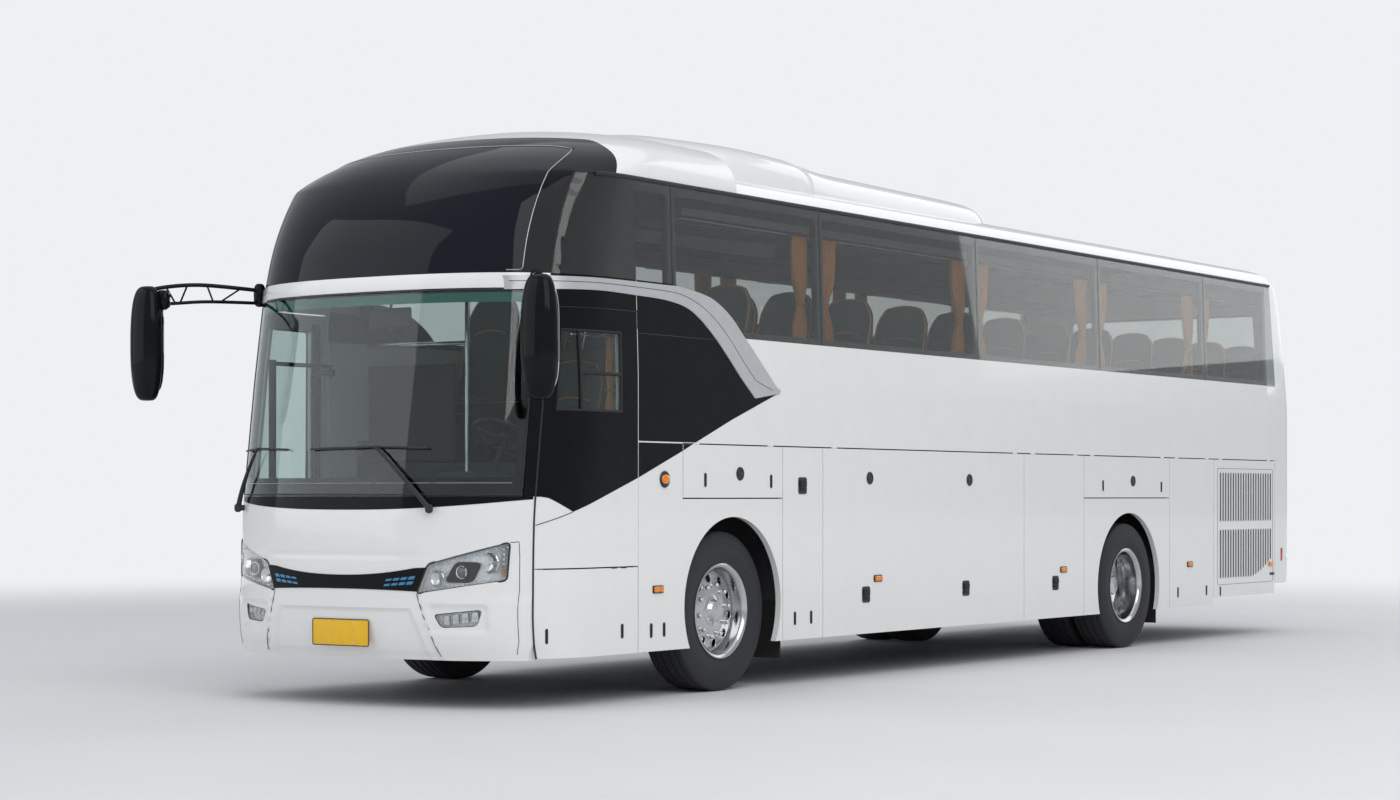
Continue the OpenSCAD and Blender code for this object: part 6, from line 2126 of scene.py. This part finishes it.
    def _steering(self) -> None:
        """The steering wheel with a padded rim and four spokes."""
        hub, turn = self._column()
        up = turn @ Vector((0, 0, 1))
        side, ahead = Vector((1, 0, 0)), turn @ Vector((0, 1, 0))
        piece = Piece("steering_wheel_grip")
        rim = [(0.215 + 0.0148 * math.cos(a), 0.0148 * math.sin(a)) for a in spread(0, 2 * math.pi, 14)[:-1]]
        piece.add(*turned(rim, hub, up, 72), TRIM)
        piece.add(*turned([(0.0, -0.015), (0.060, -0.015), (0.062, 0.004), (0.045, 0.014), (0.0, 0.016)],
                          hub, up, 40), DASH)
        for k in range(4):
            a = math.radians(45 + 90 * k)
            ray = side * math.cos(a) + ahead * math.sin(a)
            piece.add(*tube([hub + ray * 0.045, hub + ray * 0.13 - up * 0.006, hub + ray * 0.212],
                            [0.020, 0.014, 0.012], 10, 0.5), DASH)
        piece.add(*turned([(0.0, -0.329), (0.020, -0.329), (0.020, -0.012), (0.0, -0.012)],
                          hub, up, 24), TRIM)
        piece.build("steering_wheel", "trim_plastic", ("steering_wheel",))

    def _fittings(self) -> None:
        """Grab rails, the partition behind the driver, the inner mirror and roof ducts."""
        piece = Piece("cabin_fittings")
        step = BODY.y(self.step_s)
        for x in (-0.28, 0.28):
            piece.add(*tube([Vector((x, step, 0.935)), Vector((x, step, 3.02))], 0.017, 14), CHROME)
        piece.add(*tube([Vector((-0.28, step, 2.25)), Vector((-1.12, step, 2.25))],
                        0.015, 12), CHROME)
        piece.add(*block((0.30, BODY.y(1.575), 1.48), (1.16, BODY.y(1.60), 2.18), 0.012), DASH)
        piece.add(*block((-1.14, BODY.y(1.575), 1.48), (-0.40, BODY.y(1.60), 2.12), 0.012), DASH)
        piece.add(*block((-0.16, BODY.y(0.46), 2.28), (0.16, BODY.y(0.485), 2.40), 0.012), TRIM)
        piece.add(*tube([Vector((0, BODY.y(0.47), 2.39)), Vector((0, BODY.y(0.52), 2.60))], 0.009, 8), TRIM)
        for sign in (-1, 1):
            low = BODY.y(self.step_s + 0.32)
            x0, x1 = sorted((sign * 0.72, sign * 1.07))
            # Rack undersides in the lining darkened as painted shade
            piece.add(*block((x0, low, 2.995), (x1, BODY.y(11.35), 3.018), 0.006), LINING_PAINTED_SHADE)
            for k in range(12):
                y = BODY.y(self.step_s + 0.70 + k * self.pitch)
                piece.add(*block((sign * 0.93 - 0.10, y, 2.985), (sign * 0.93 + 0.10, y + 0.22, 2.996),
                                 0.004), DASH)
        piece.build(slot="trim_plastic")

    def _lining(self) -> None:
        """A dark bulkhead over the cab that closes off the upper saloon's front."""
        piece = Piece("cab_ceiling")
        def at(i: int, j: int, depth: float) -> Vector:
            """A point of the shelf over the windscreen."""
            turn = -54 + 108 * j / 30
            deep = 0.06 + 0.75 * i / 6
            return BODY.skin(2.50, turn, deep) + Vector((0, 0, depth - 0.015 * i / 6))
        piece.add(*sheet(6, 30, at, 0.02), DASH)
        piece.build(slot="trim_plastic")


def main() -> None:
    """Builds everything in order."""
    logging.basicConfig(level=logging.INFO)
    Studio().build()
    dress_nodes()
    for part in (FrontEnd(), Roofing(), Sides(), Fittings(), Lamps(), RearEnd(), Mirrors(),
                 Wipers(), Wheels(), Cabin()):
        log.info("building %s", type(part).__name__)
        part.build()


if __name__ == "__main__":
    main()
